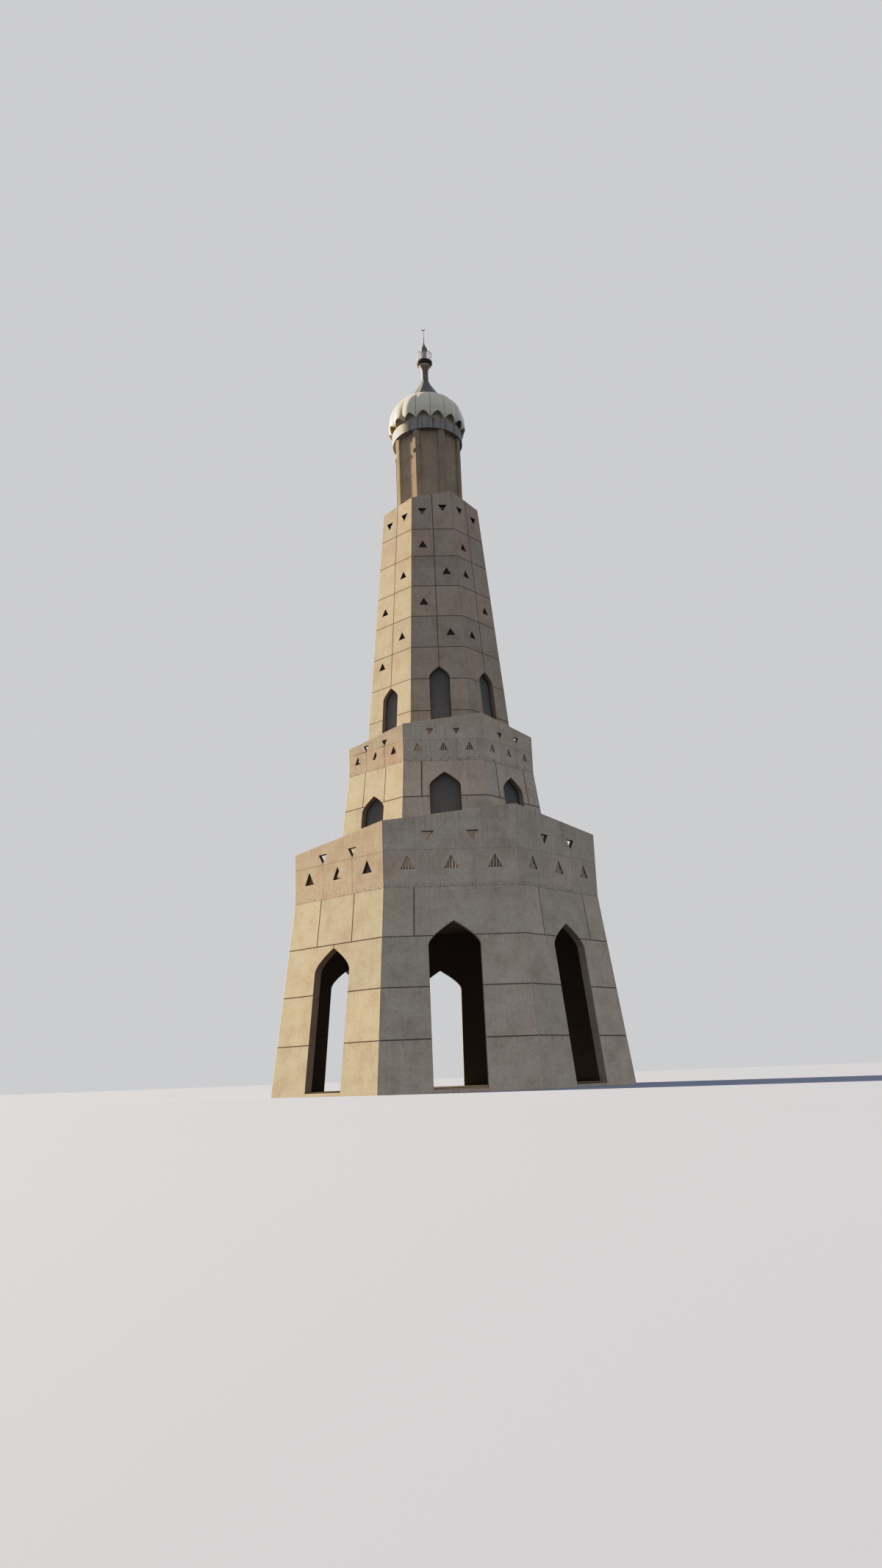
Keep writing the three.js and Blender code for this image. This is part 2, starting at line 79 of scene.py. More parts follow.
# Storeys: corner radii at their levels, parapet heights, panel joints and arches. "split" is the share of
# half a face at which the vertical joints beside a tall and a low arch stand.
PARAPET_STOREY = {"joint_width": 0.005, "arris": 0.002, "corner_gap": 0.0}
PARAPET_STOREY["split"] = {"tall": 0.56, "low": 0.37}
GROUND_STOREY = {
    "node": "ground_wall",
    "thickness": 0.09,
    "parapet_thickness": 0.045,
    "levels": (0.0, LOW_TERRACE),
    "radii": (2.1, 1.83),
    "parapet": {"high": 2.9, "middle": 2.75, "low": 2.6},
    "arch": {"half": 0.265, "rise": 0.25, "spring": 1.43, "foot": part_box("ground_floor")[1].z},
    "joints": (0.51, 1.02, 1.53),
    **PARAPET_STOREY,
}
MIDDLE_STOREY = {
    "node": "middle_wall",
    "thickness": 0.075,
    "parapet_thickness": 0.035,
    "levels": (LOW_TERRACE, MIDDLE_TERRACE),
    "radii": (1.375, 1.172),
    "parapet": {"high": 4.115, "middle": 4.003, "low": 3.899},
    "arch": {"half": 0.173, "rise": 0.165, "spring": 3.26, "foot": LOW_TERRACE},
    "joints": (2.32, 2.73, 3.14),
    **PARAPET_STOREY,
}
SHAFT_TOP = 7.2
SHAFT_BATTER = 0.0902
SHAFT_FOOT_RADIUS = 0.964
SHAFT = {
    "node": "shaft_wall",
    "thickness": 0.065,
    "levels": (MIDDLE_TERRACE, SHAFT_TOP),
    "radii": (SHAFT_FOOT_RADIUS, SHAFT_FOOT_RADIUS - SHAFT_BATTER * (SHAFT_TOP - MIDDLE_TERRACE)),
    "parapet": {"high": SHAFT_TOP, "middle": 7.108, "low": 7.052},
    "arch": {"half": 0.119, "rise": 0.136, "spring": 4.66, "foot": MIDDLE_TERRACE},
    "joints": (3.83, 4.235, 4.639, 5.046, 5.454, 5.861, 6.272, 6.649),
    "joint_width": 0.0038,
    "arris": 0.001,
    "corner_gap": 0.0025,
}
TALL_ARCH_FACES = ("front", "front_right")
LOW_ARCH_DROP = 0.185
ARCH_SHOULDER = 0.36
ARCH_STEPS = 14
# An arch's points keep this far from a joint that crosses its shoulder
SHOULDER_ROOM = 0.026
HAIRLINE_WIDTH = 0.0008
# Half the gap of a joint that has opened, as a share of the storey's joint width
WIDE_HALF_GAP = 0.8
# Upright joints over an arch that have opened or closed, by face and half of the face
UNEVEN_JOINTS = {("front", -1): "wide", ("front", 1): "hairline"}
GROOVE_DEPTH = 0.004
GROOVE_FLOOR = 0.001
# How far dirt creeps over a panel from a joint, and from the edge of a triangular opening
GRIME_MARGIN = 0.01
SHOULDER_GRIME_MARGIN = 0.003
PARAPET_GRIME_MARGIN = 0.006
SHAFT_GRIME_MARGIN = 0.009
SHAFT_SHOULDER_MARGIN = 0.005
HOLE_MARGIN = 0.002
# Panels of a wall stand up to this much behind its face, and each has its own tone
PANEL_STAGGER = 0.0008

# Triangular windows and parapet openings
WINDOW_SIDE = 0.106
WINDOW_HEIGHT = 0.094
TOP_WINDOW_DROP = 0.228
WINDOW_ROWS = (6.44, 6.065, 5.655, 5.245, 4.935)
# Which half of each row is pierced, face by face and from the top row down
WINDOW_SIDES = dict(zip(FACES, ("LRLR-", "LLRL-", "RLRL-", "-RLRL") * 2))
UPRIGHT_SIDE = 0.092
UPRIGHT_HEIGHT = 0.088
INVERTED_SIDE = 0.08
INVERTED_HEIGHT = 0.066
UPRIGHT_SPACING = 0.292
UPRIGHT_RISE = 0.165
INVERTED_SPACING = 0.15
INVERTED_RISE = 0.342
# On a face without a high corner the inverted openings sit lower by this much
INVERTED_DROP = 0.058
BARS_IN_AN_OPENING = 4
UNBARRED_FACES = ("front_left",)
BAR_WIDTH = 0.0075

# Drum, beam and dome
DRUM_RADIUS = 0.45
DRUM_WALL = 0.04
PANEL_DEPTH = 0.035
PIER_WIDTH = 0.052
BEAM_RADIUS = 0.458
BEAM_INNER_RADIUS = 0.384
DOME_RADIUS = 0.499
DOME_FOOT_RADIUS = 0.458
DOME_WIDEST = 8.425
DOME_CROWN = 8.865
DOME_SQUARENESS = 2.4
DOME_GORES = 16
DOME_TURN = math.radians(3.6) + HALF_FACE
GORE_BULGE = 0.028
PETAL_RISE = 0.078
PETAL_POINT = 0.35
LEVEL_CROWDING = 1.6
DOME_SHELL = 0.026
PETAL_LIP = 0.012

# Finial
SKIRT_RADIUS = 0.256
SKIRT_FLARE = 1.25
NECK_RADIUS = 0.045
COLLAR_FOOT_RADIUS = 0.047
COLLAR_RADIUS = 0.076
BALCONY_FOOT_RADIUS = 0.08
BALCONY_BELLY_RADIUS = 0.098
BALCONY_RADIUS = 0.106
LANTERN_RADIUS = 0.102
CORE_RADIUS = 0.03
MAST_TIP_RADIUS = 0.004
EMBLEM_RADIUS = 0.025
EMBLEM_HOLLOW_LIFT = 0.45
EMBLEM_DEPTH = 0.008

# The photograph's camera. Assumed are its lens, in millimetres on a 36 mm long side, its height, 1.5 m on
# the real tower, and the tower's own 100 m. The rest was fitted to the shaft's joints with these held.
IMAGE_LONG_SIDE = 36.0
LENS = 25.23
CAMERA_DISTANCE = 12.8655
CAMERA_HEIGHT = 0.15
CAMERA_PITCH = 0.2603
CAMERA_YAW = 0.001
CAMERA_ROLL = math.radians(-2.135)
CAMERA_SWING = math.radians(-2.918)

# How bright a light value is shown, on a scale where 1 is white paper
TONE_CURVE = ((0.1, 0.1), (0.2, 0.2), (0.4, 0.4), (0.55, 0.54), (0.8, 0.67), (1.2, 0.76), (1.8, 0.825))
TONE_CURVE += ((2.6, 0.875), (4.0, 0.94))

random = np.random.default_rng(7)


# Meshes


def skin(rings, closed=False):
    """Faces over a grid of points, an array (ring, point, 3).

    Each face joins the neighbours (k, i), (k + 1, i), (k + 1, i + 1) and (k, i + 1), and closed joins the
    last ring to the first. Points that coincide are welded, which leaves triangles at a pole and nothing at
    a seam. Gives the points, the corners of all faces in a row, the faces' sizes, and where in the grid
    each corner came from.
    """
    count, around = rings.shape[:2]
    ring = np.arange(count if closed else count - 1)[:, None]
    point = np.arange(around)[None, :]
    after, beside = (ring + 1) % count, (point + 1) % around
    grid = [ring * around + point, after * around + point, after * around + beside, ring * around + beside]
    grid = np.stack(grid, -1).reshape(-1, 4)
    flat = rings.reshape(-1, 3)
    microns = np.round(flat * 1e6).astype(np.int64)
    _, first, welded = np.unique(microns, axis=0, return_index=True, return_inverse=True)
    corners = welded.reshape(-1)[grid]
    kept = corners != np.roll(corners, 1, axis=1)
    kept &= (kept.sum(1) >= 3)[:, None]
    sizes = kept.sum(1)
    return {
        "points": flat[first],
        "corners": corners[kept],
        "sizes": sizes[sizes > 0],
        "grid": grid[kept],
        "cell": np.flatnonzero(kept.ravel()),
    }


def build(name, skins, material, stands_for=(), sharp_over=None):
    """One piece from several skins. Every skin may carry values for its corners: "face" is a UV map, and
    any other name an attribute. sharp_over, in degrees, smooths all but the edges that turn by more."""
    starts = np.cumsum([0] + [len(s["points"]) for s in skins])
    corners = np.concatenate([s["corners"] + start for s, start in zip(skins, starts)])
    sizes = np.concatenate([s["sizes"] for s in skins])
    points = np.concatenate([s["points"] for s in skins])
    mesh = bpy.data.meshes.new(name)
    mesh.vertices.add(len(points))
    mesh.vertices.foreach_set("co", points.astype(np.float32).ravel())
    mesh.loops.add(len(corners))
    mesh.loops.foreach_set("vertex_index", corners.astype(np.int32))
    mesh.polygons.add(len(sizes))
    mesh.polygons.foreach_set("loop_start", np.concatenate([[0], np.cumsum(sizes)[:-1]]).astype(np.int32))
    mesh.update(calc_edges=True)
    for key in skins[0].get("values", {}):
        values = np.concatenate([s["values"][key] for s in skins]).astype(np.float32)
        if key == "face":
            mesh.uv_layers.new(name=key).data.foreach_set("uv", values.ravel())
        else:
            mesh.attributes.new(key, "FLOAT", "CORNER").data.foreach_set("value", values.ravel())
    mesh.polygons.foreach_set("use_smooth", np.full(len(sizes), sharp_over is not None))
    if sharp_over is not None:
        mesh.set_sharp_from_angle(angle=math.radians(sharp_over))
    mesh.materials.append(material)
    piece = bpy.data.objects.new(name, mesh)
    bpy.context.scene.collection.objects.link(piece)
    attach(piece, BODY)
    if stands_for:
        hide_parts(*stands_for)
    return piece


def polar(radius, angle, height):
    """Points at a distance from the axis, a bearing and a height."""
    return np.stack(np.broadcast_arrays(radius * np.cos(angle), radius * np.sin(angle), height), -1)


def full_turn(steps):
    """Bearings at even steps round the axis."""
    return np.arange(steps) / steps * 2 * math.pi


def at_corners(made):
    """The points at which the corners of a skin's faces lie."""
    return made["points"][made["corners"]]


def inset(outline, distances):
    """The corners of an anticlockwise outline with each edge moved inwards by its own distance.

    A corner between edges with inward normals n1 and n2 and distances d1 and d2 moves by the vector whose
    length along n1 is d1 and along n2 is d2: (n1 (d1 - c d2) + n2 (d2 - c d1)) / (1 - c²), with c = n1 ·
    n2. Where the two edges are in line it moves by n1 times the mean of the distances.
    """
    along = np.roll(outline, -1, axis=0) - outline
    along /= np.linalg.norm(along, axis=1, keepdims=True)
    normal = np.stack([-along[:, 1], along[:, 0]], 1)
    n1, n2 = np.roll(normal, 1, axis=0), normal
    d1, d2 = np.roll(distances, 1)[:, None], np.asarray(distances)[:, None]
    c = np.sum(n1 * n2, axis=1, keepdims=True)
    bent = np.abs(c) < 0.99995
    shared = np.where(bent, 1 - c * c, 1.0)
    mitre = (n1 * (d1 - c * d2) + n2 * (d2 - c * d1)) / shared
    return outline + np.where(bent, mitre, n1 * (d1 + d2) / 2)


def evenly_inset(outline, distance):
    """An outline with every edge moved inwards by the same distance."""
    return inset(outline, np.full(len(outline), distance))


def meet(outline, centre, angles):
    """Where rays from a centre at the given angles meet a closed outline, and on which edge of it."""
    edge = np.roll(outline, -1, axis=0) - outline
    ray = np.stack([np.cos(angles), np.sin(angles)], 1)
    to_edge = outline - centre
    cross = ray[:, None, 0] * edge[None, :, 1] - ray[:, None, 1] * edge[None, :, 0]
    cross = np.where(np.abs(cross) < 1e-12, 1e-12, cross)
    reach = (to_edge[:, 0] * edge[:, 1] - to_edge[:, 1] * edge[:, 0])[None, :] / cross
    share = (to_edge[None, :, 0] * ray[:, None, 1] - to_edge[None, :, 1] * ray[:, None, 0]) / cross
    hit = np.argmin(np.where(reach > 0, np.abs(share - 0.5), np.inf), axis=1)
    return centre + ray * reach[np.arange(len(angles)), hit][:, None], hit


# Walls of panels


def radius_at(storey, z):
    return np.interp(z, storey["levels"], storey["radii"])


def half_width(storey, z):
    """Half the width of a face at a height: the corner radius times the sine of 22.5°, less the fit."""
    return radius_at(storey, z) * math.sin(HALF_FACE) - FIT / 2


def on_wall(storey, face, flat, depth):
    """A point of a wall: x along the face, z up and a depth behind its surface, turned to that face."""
    x, z = flat[..., 0], flat[..., 1]
    y = depth - radius_at(storey, z) * math.cos(HALF_FACE)
    turn = face * FACE_TURN
    return np.stack([x * math.cos(turn) - y * math.sin(turn), x * math.sin(turn) + y * math.cos(turn), z], -1)


def edge_steps(storey, thick, margin):
    """Depths of the rings that make a panel, and how far each kind of edge is set in at each of them.

    A panel's skin starts on its face a margin inside the edge, turns over a bevelled arris, and runs back
    to its rear. At a joint it leaves half the joint's gap down to the groove's floor. At a corner of the
    tower it follows the mitre, a depth times the tangent of 22.5 degrees, behind an open or a closed arris.
    """
    b, t, gap = storey["arris"], math.tan(HALF_FACE), storey["corner_gap"]
    chamfer = b / (math.sin(HALF_FACE) * math.cos(HALF_FACE))
    floor = GROOVE_DEPTH + GROOVE_FLOOR
    depths = np.array([0.0, 0.0, b, GROOVE_DEPTH, floor, thick - b, thick])

    def jointed(half):
        return [margin + half + b, half + b, half, half, 0.0, 0.0, 0.0]

    steps = {
        "joint": jointed(storey["joint_width"] / 2),
        "hairline": jointed(HAIRLINE_WIDTH / 2),
        "wide": jointed(storey["joint_width"] * WIDE_HALF_GAP),
        "free": [margin + b, b, 0.0, 0.0, 0.0, 0.0, b],
        "arch": [margin + b, b, 0.0, 0.0, 0.0, 0.0, b],
        "plain": [0.0] * len(depths),
        "corner": [margin + gap + chamfer, gap + chamfer, gap + t * b, gap + t * GROOVE_DEPTH]
        + [t * floor, t * (thick - b), t * thick],
    }
    return depths, steps


# How dirty each kind of edge is, and how much of it each ring of a panel's skin keeps. The surfaces inside
# an arch or a triangular opening and the panels' rears get painted shade, ring by ring as well.
EDGE_GRIME = {"joint": 1.0, "wide": 1.0, "hairline": 0.35, "corner": 0.65}
EDGE_GRIME |= {"free": 0.4, "arch": 0.5, "plain": 0.0}
RING_GRIME = (0.0, 1.0, 1.0, 1.0, 1.0, 0.4, 0.4)
HOLE_GRIME = (0.3, 0.5, 0.5, 0.5, 0.0)
RING_PAINTED_SHADE = (0.0, 0.0, 0.55, 0.55, 0.55, 0.55, 0.0)
HOLE_PAINTED_SHADE = (1.0, 1.0, 1.0, 0.0, 0.0)
REAR_GRIME = 0.1
REAR_PAINTED_SHADE = 1.0


def panel(storey, face, outline, kinds, top_line, tone, stagger, hole=None, margin=GRIME_MARGIN, thick=None):
    """One closed panel of a wall: its outline's edges are set in ring by ring and the rings are joined.

    Without a hole the first and last ring shrink to a point of the panel from which every edge can be seen.
    With a hole the skin goes on through it and closes on itself, after rays from the hole's middle to every
    corner have given outline and hole the same number of points.
    """
    kinds = np.array(kinds)
    thick = thick or storey["thickness"]
    depths, steps = edge_steps(storey, thick, margin)
    front = np.where(depths <= storey["arris"], depths + stagger, depths)
    panel_top = outline[:, 1].max()
    if hole is not None:
        centre = hole.mean(0)
        angles = np.concatenate([np.arctan2(*(p - centre).T[::-1]) for p in (outline, hole)])
        angles = np.unique(np.round(angles, 9))
        after = np.roll(angles, -1) + np.where(np.arange(len(angles)) == len(angles) - 1, 2 * math.pi, 0)
        _, edge = meet(outline, centre, (angles + after) / 2)
        outline, _ = meet(outline, centre, angles)
        hole, _ = meet(hole, centre, angles)
        kinds = kinds[edge]
    grime = [np.outer(RING_GRIME, [EDGE_GRIME[kind] for kind in kinds])]
    # Shade is painted onto the sides of arches and openings and onto the panels' rears
    shelter = [np.outer(RING_PAINTED_SHADE, kinds == "arch")]
    shelter[0][-1] = REAR_PAINTED_SHADE
    insets = np.array([steps[kind] for kind in kinds])
    flat = [inset(outline, insets[:, ring]) for ring in range(len(depths))]
    if hole is None:
        middle = panel_middle(outline, kinds)
        flat = [np.broadcast_to(middle, outline.shape), *flat, np.broadcast_to(middle, outline.shape)]
        ring_depths = np.array([front[0], *front, front[-1]])
        grime = [np.zeros((1, len(kinds))), *grime, np.full((1, len(kinds)), REAR_GRIME)]
        shelter = [np.zeros((1, len(kinds))), *shelter, np.full((1, len(kinds)), REAR_PAINTED_SHADE)]
    else:
        b = storey["arris"]
        opened = (-b, 0.0, 0.0, -b, -b - HOLE_MARGIN)
        flat += [evenly_inset(hole, distance) for distance in opened]
        ring_depths = np.array([*front, thick, thick - b, b + stagger, stagger, stagger])
        grime.append(np.outer(HOLE_GRIME, np.ones(len(kinds))))
        shelter.append(np.outer(HOLE_PAINTED_SHADE, np.ones(len(kinds))))
    flat = np.array(flat)
    made = skin(on_wall(storey, face, flat, ring_depths[:, None]), closed=hole is not None)
    x, z = flat.reshape(-1, 2)[made["grid"]].T
    depth = np.broadcast_to(ring_depths[:, None], flat.shape[:2]).reshape(-1)[made["grid"]]
    bands = len(flat) if hole is not None else len(flat) - 1
    made["values"] = {
        "face": np.stack([x + depth, z], 1),
        "tone": np.full(len(x), tone),
        "grime": on_strips(np.concatenate(grime), bands)[made["cell"]],
        "shelter": on_strips(np.concatenate(shelter), bands)[made["cell"]],
        "corner": half_width(storey, z) - np.abs(x),
        "below": top_line(x) - z,
        "under": panel_top - z,
    }
    return made


def on_strips(values, bands):
    """Values of a ring's edges, carried to the four corners of the faces between each ring and the next."""
    here = values[:bands]
    after = np.roll(values, -1, axis=0)[:bands]
    return np.stack([here, after, after, here], -1).reshape(-1)


def panel_middle(outline, kinds):
    """A point of a panel that sees all its edges: halfway along its top or bottom for a plain one, and up
    beside the shoulder of the arch for one that wraps round it."""
    low, high = outline.min(0), outline.max(0)
    inner = np.abs(outline[:, 0])
    wraps = len(kinds) > 4
    across = (inner.max() + (inner[kinds == "arch"].max() if wraps else inner.min())) / 2
    share_down = 0.28 if wraps else 0.5
    up = high[1] - share_down * (high[1] - low[1])
    return np.array([math.copysign(across, outline[:, 0].sum()), up])


def mirrored(outline, kinds):
    """The same outline on the other half of a face, listed anticlockwise again."""
    turned_round = outline[::-1] * np.array([-1.0, 1.0])
    order = (len(kinds) - 2 - np.arange(len(kinds))) % len(kinds)
    return turned_round, [kinds[i] for i in order]


def arch_parameter(arch, z):
    """The t at which an arch reaches a height: (z - spring) / rise = 2 S t + (1 - 2 S) t², S its shoulder."""
    share = np.clip((z - arch["spring"]) / arch["rise"], 0.0, 1.0)
    s = ARCH_SHOULDER
    return (-s + math.sqrt(s * s + (1 - 2 * s) * share)) / (1 - 2 * s)


def arch_edge(arch, low, high):
    """The right edge of an arch from one height down to another: upright up to its springing, and from
    there half (1 - t²) wide at the height spring + rise (2 S t + (1 - 2 S) t²)."""
    t = np.linspace(arch_parameter(arch, high), arch_parameter(arch, low), ARCH_STEPS + 1)
    s = ARCH_SHOULDER
    over_spring = arch["rise"] * (2 * s * t + (1 - 2 * s) * t * t)
    curve = np.stack([arch["half"] * (1 - t * t), arch["spring"] + over_spring], 1)
    if high <= arch["spring"]:
        curve = np.array([[arch["half"], high]])
    if low < arch["spring"]:
        curve = np.concatenate([curve, [[arch["half"], low]]])
    apex = arch["spring"] + arch["rise"]
    ends = [end for end, z in ((curve[0], high), (curve[-1], low)) if arch["spring"] < z < apex]
    for end in ends:
        away = np.linalg.norm(curve - end, axis=1)
        curve = curve[(away > SHOULDER_ROOM) | (away < FIT)]
    return curve


def half_face_panel(storey, low, high, shares, kinds, arch, tops=None):
    """Outline and edge kinds of a panel on the right half of a face, between two heights and two shares of
    its half width. kinds names the bottom, outer, top and inner edge. The arch takes what it covers of the
    inner edge. tops gives the heights of a slanting top's inner and outer end."""
    inner, outer = shares
    inner_top, outer_top = tops or (high, high)
    apex = arch["spring"] + arch["rise"]
    corners = [
        [inner * half_width(storey, low), low],
        [outer * half_width(storey, low), low],
        [outer * half_width(storey, outer_top), outer_top],
        [inner * half_width(storey, inner_top), inner_top],
    ]
    if inner > 0 or low >= apex:
        return np.array(corners), list(kinds)
    edge = arch_edge(arch, low, min(high, apex))
    corners[0] = edge[-1]
    if high <= apex:
        corners, kinds = corners[:3], kinds[:3]
    return np.concatenate([corners, edge[:-1]]), [*kinds, *["arch"] * (len(edge) - 1)]


def face_arch(storey, name):
    drop = 0.0 if name in TALL_ARCH_FACES else LOW_ARCH_DROP
    return {**storey["arch"], "spring": storey["arch"]["spring"] - drop}


def triangle(x, z, side, height, up):
    """A triangle about its middle height, listed anticlockwise, with its tip up or down."""
    left, right, low, high = x - side / 2, x + side / 2, z - height / 2, z + height / 2
    return np.array([[left, low], [right, low], [x, high]] if up else [[left, high], [x, low], [right, high]])


def shaft_window(half, middle, up=True):
    """A window of the shaft at a middle height, in the middle of a face's left (-1) or right (1) half."""
    return triangle(half * half_width(SHAFT, middle) / 2, middle, WINDOW_SIDE, WINDOW_HEIGHT, up)


def block(low_x, high_x, low_z, high_z):
    return np.array([[low_x, low_z], [high_x, low_z], [high_x, high_z], [low_x, high_z]])


def edge_line(storey, face):
    """Height of a wall's slanting top edge at any x along the face, and at its two corners and its middle."""
    left, right = (storey["parapet"][height] for height in CORNERS[face])
    left_x, right_x = -half_width(storey, left), half_width(storey, right)

    def height(x):
        return left + (right - left) * (x - left_x) / (right_x - left_x)

    return height, {-1: left, 1: right}, height(0.0)


def both_halves(cells, side, outline, kinds, tone, hole=None, **more):
    """Adds a panel of the right half of a face, or its mirror image on the left one."""
    if side < 0:
        outline, kinds = mirrored(outline, kinds)
    cells.append({"outline": outline, "kinds": kinds, "hole": hole, "tone": tone, **more})


def parapet_cells(storey, face):
    """A parapet's panels: three with an upright opening, and over them two with an inverted one."""
    stretch = storey["radii"][1] / MIDDLE_STOREY["radii"][1]
    terrace = storey["levels"][1]
    upright_size = UPRIGHT_SIDE * stretch, UPRIGHT_HEIGHT * stretch
    inverted_size = INVERTED_SIDE * stretch, INVERTED_HEIGHT * stretch
    high_face = "high" in CORNERS[face]
    drop = 0.0 if high_face else INVERTED_DROP
    upright = terrace + UPRIGHT_RISE * stretch
    inverted = terrace + (INVERTED_RISE - drop) * stretch
    apex, tip = upright + upright_size[1] / 2, inverted - inverted_size[1] / 2
    # The hairline between the upright and the inverted openings, as a share of the way up between them
    seam_share = 0.4 if high_face else 0.8
    seam = apex + seam_share * (tip - apex)
    border = UPRIGHT_SPACING / 2 * stretch
    width = half_width(storey, seam)
    _, tops, middle_top = edge_line(storey, face)
    cells = []
    thinner = {"margin": PARAPET_GRIME_MARGIN, "thick": storey["parapet_thickness"]}
    hole = triangle(0.0, upright, *upright_size, True)
    outline = block(-border, border, terrace, seam)
    cells.append({"outline": outline, "kinds": ["hairline"] * 4, "hole": hole, "tone": (9, 1), **thinner})
    for half in (-1, 1):
        hole = triangle(half * UPRIGHT_SPACING * stretch, upright, *upright_size, True)
        kinds = ["hairline", "corner", "hairline", "hairline"]
        both_halves(cells, half, block(border, width, terrace, seam), kinds, (9, 1 + half), hole, **thinner)
        hole = triangle(half * INVERTED_SPACING * stretch, inverted, *inverted_size, False)
        outline = np.array([[0.0, seam], [width, seam], [width, tops[half]], [0.0, middle_top]])
        kinds = ["hairline", "corner", "free", "plain"]
        both_halves(cells, half, outline, kinds, (10, 1), hole, **thinner)
    return cells


def storey_cells(storey, face):
    """Panels of a storey with a parapet: rows beside the arch, and one over it between upright joints."""
    name = FACES[face]
    arch = face_arch(storey, name)
    split = storey["split"]["tall" if name in TALL_ARCH_FACES else "low"]
    levels = (storey["levels"][0], *storey["joints"], storey["levels"][1])
    cells = []
    for row, (low, high) in enumerate(zip(levels, levels[1:])):
        over_arch = row == len(levels) - 2
        bottom = "plain" if row == 0 else "joint"
        for half in (-1, 1):
            shares = ((0.0, split), (split, 1.0)) if over_arch else ((0.0, 1.0),)
            for column, share in enumerate(shares):
                beside = UNEVEN_JOINTS.get((name, half), "joint") if over_arch else "joint"
                outer = "corner" if share[1] == 1.0 else beside
                inner = "plain" if over_arch and column == 0 else beside
                top = "hairline" if over_arch else "joint"
                outline, kinds = half_face_panel(storey, low, high, share, (bottom, outer, top, inner), arch)
                tone = (row, 1) if over_arch and column == 0 else (row, 1 + half)
                crossed = any(arch["spring"] < z < arch["spring"] + arch["rise"] for z in (low, high))
                margin = SHOULDER_GRIME_MARGIN if crossed else GRIME_MARGIN
                both_halves(cells, half, outline, kinds, tone, margin=margin)
    if arch["foot"] > levels[0]:
        sill = block(-arch["half"], arch["half"], levels[0], arch["foot"])
        cells.append({"outline": sill, "kinds": ["plain", "plain", "free", "plain"], "tone": (0, 1)})
    return cells + parapet_cells(storey, face)


def shaft_cells(storey, face):
    """Panels of the shaft: two in each row, some of them pierced by a triangle."""
    name = FACES[face]
    arch = face_arch(storey, name)
    line, tops, middle_top = edge_line(storey, face)
    levels = (storey["levels"][0], *storey["joints"], None)
    cells = []
    for row, (low, high) in enumerate(zip(levels, levels[1:])):
        bottom = "plain" if row == 0 else "joint"
        for half in (-1, 1):
            if high is None:
                edge_x = half * half_width(storey, tops[half]) / 2
                middle = line(edge_x) - TOP_WINDOW_DROP
                hole = shaft_window(half, middle, up=False)
                kinds = (bottom, "corner", "free", "joint")
                slant = (middle_top, tops[half])
                outline, kinds = half_face_panel(storey, low, middle_top, (0.0, 1.0), kinds, arch, slant)
            else:
                kinds = (bottom, "corner", "joint", "joint")
                outline, kinds = half_face_panel(storey, low, high, (0.0, 1.0), kinds, arch)
                hole = None
                for middle, pierced in zip(WINDOW_ROWS, WINDOW_SIDES[name]):
                    if low < middle < high and pierced == ("L" if half < 0 else "R"):
                        hole = shaft_window(half, middle)
            # A panel that wraps round an arch's shoulder has more than four edges, and less room for dirt
            margin = SHAFT_SHOULDER_MARGIN if len(kinds) > 4 else SHAFT_GRIME_MARGIN
            both_halves(cells, half, outline, kinds, (row, 1 + half), hole, margin=margin)
    return cells


def walls(storey, cells_of, material, sunny_material=None):
    """Eight walls, each of closed panels, each panel with a tone and a stagger of its own. The faces that get
    the photograph's low sun may have a material of their own, and the others then get paler panels: painted
    bounce light in their shade."""
    tones = random.random((len(FACES), 12, 3))
    staggers = random.random((len(FACES), 12, 3)) * PANEL_STAGGER
    for face, name in enumerate(FACES):
        line, _, _ = edge_line(storey, face)
        skins = []
        for cell in cells_of(storey, face):
            row, column = cell.pop("tone")
            values = {"tone": tones[face, row, column], "stagger": staggers[face, row, column]}
            skins.append(panel(storey, face, top_line=line, **values, **cell))
        node = storey["node"] + "_" + name
        chosen = sunny_material if sunny_material and name in SUNNY_FACES else material
        build(node + "_panels", skins, chosen, [node])


def prism(storey, face, outline, front, back, tone=0.5):
    """A closed block with an outline in the plane of a face, between two depths behind it."""
    middle = np.broadcast_to(outline.mean(0), outline.shape)
    flat = np.array([middle, outline, outline, middle])
    depths = np.array([front, front, back, back])
    made = skin(on_wall(storey, face, flat, depths[:, None]))
    return with_values(made, flat.reshape(-1, 2)[made["grid"]], tone)


def with_values(made, face_map, tone=0.5):
    """Gives a skin the values that every concrete piece carries, those of a clean place far from any edge."""
    count = len(made["grid"])
    flat = {"tone": tone, "grime": 0.0, "shelter": 0.0, "corner": 1.0, "below": 1.0, "under": 1.0}
    made["values"] = {"face": face_map, **{key: np.full(count, value) for key, value in flat.items()}}
    return made


def parapet_bars(name, storey, material):
    """Upright bars in the openings of a parapet, each as tall as the triangle is where it stands."""
    stretch = storey["radii"][1] / MIDDLE_STOREY["radii"][1]
    side, height = UPRIGHT_SIDE * stretch, UPRIGHT_HEIGHT * stretch
    foot = storey["levels"][1] + UPRIGHT_RISE * stretch - height / 2
    bite, width = 0.006 * stretch, BAR_WIDTH * stretch
    front, back = 0.3 * storey["parapet_thickness"], 0.7 * storey["parapet_thickness"]
    spread, bar_tone = 0.86, 0.8
    steps = (np.arange(BARS_IN_AN_OPENING) + 0.5) / BARS_IN_AN_OPENING - 0.5
    skins = []
    for face, face_name in enumerate(FACES):
        for hole in (-1, 0, 1) if face_name not in UNBARRED_FACES else ():
            for x in steps * side * spread:
                top = foot + height * (1 - 2 * abs(x) / side)
                middle = hole * UPRIGHT_SPACING * stretch + x
                outline = block(middle - width / 2, middle + width / 2, foot - bite, top + bite)
                skins.append(prism(storey, face, outline, front, back, bar_tone))
    build(name, skins, material)


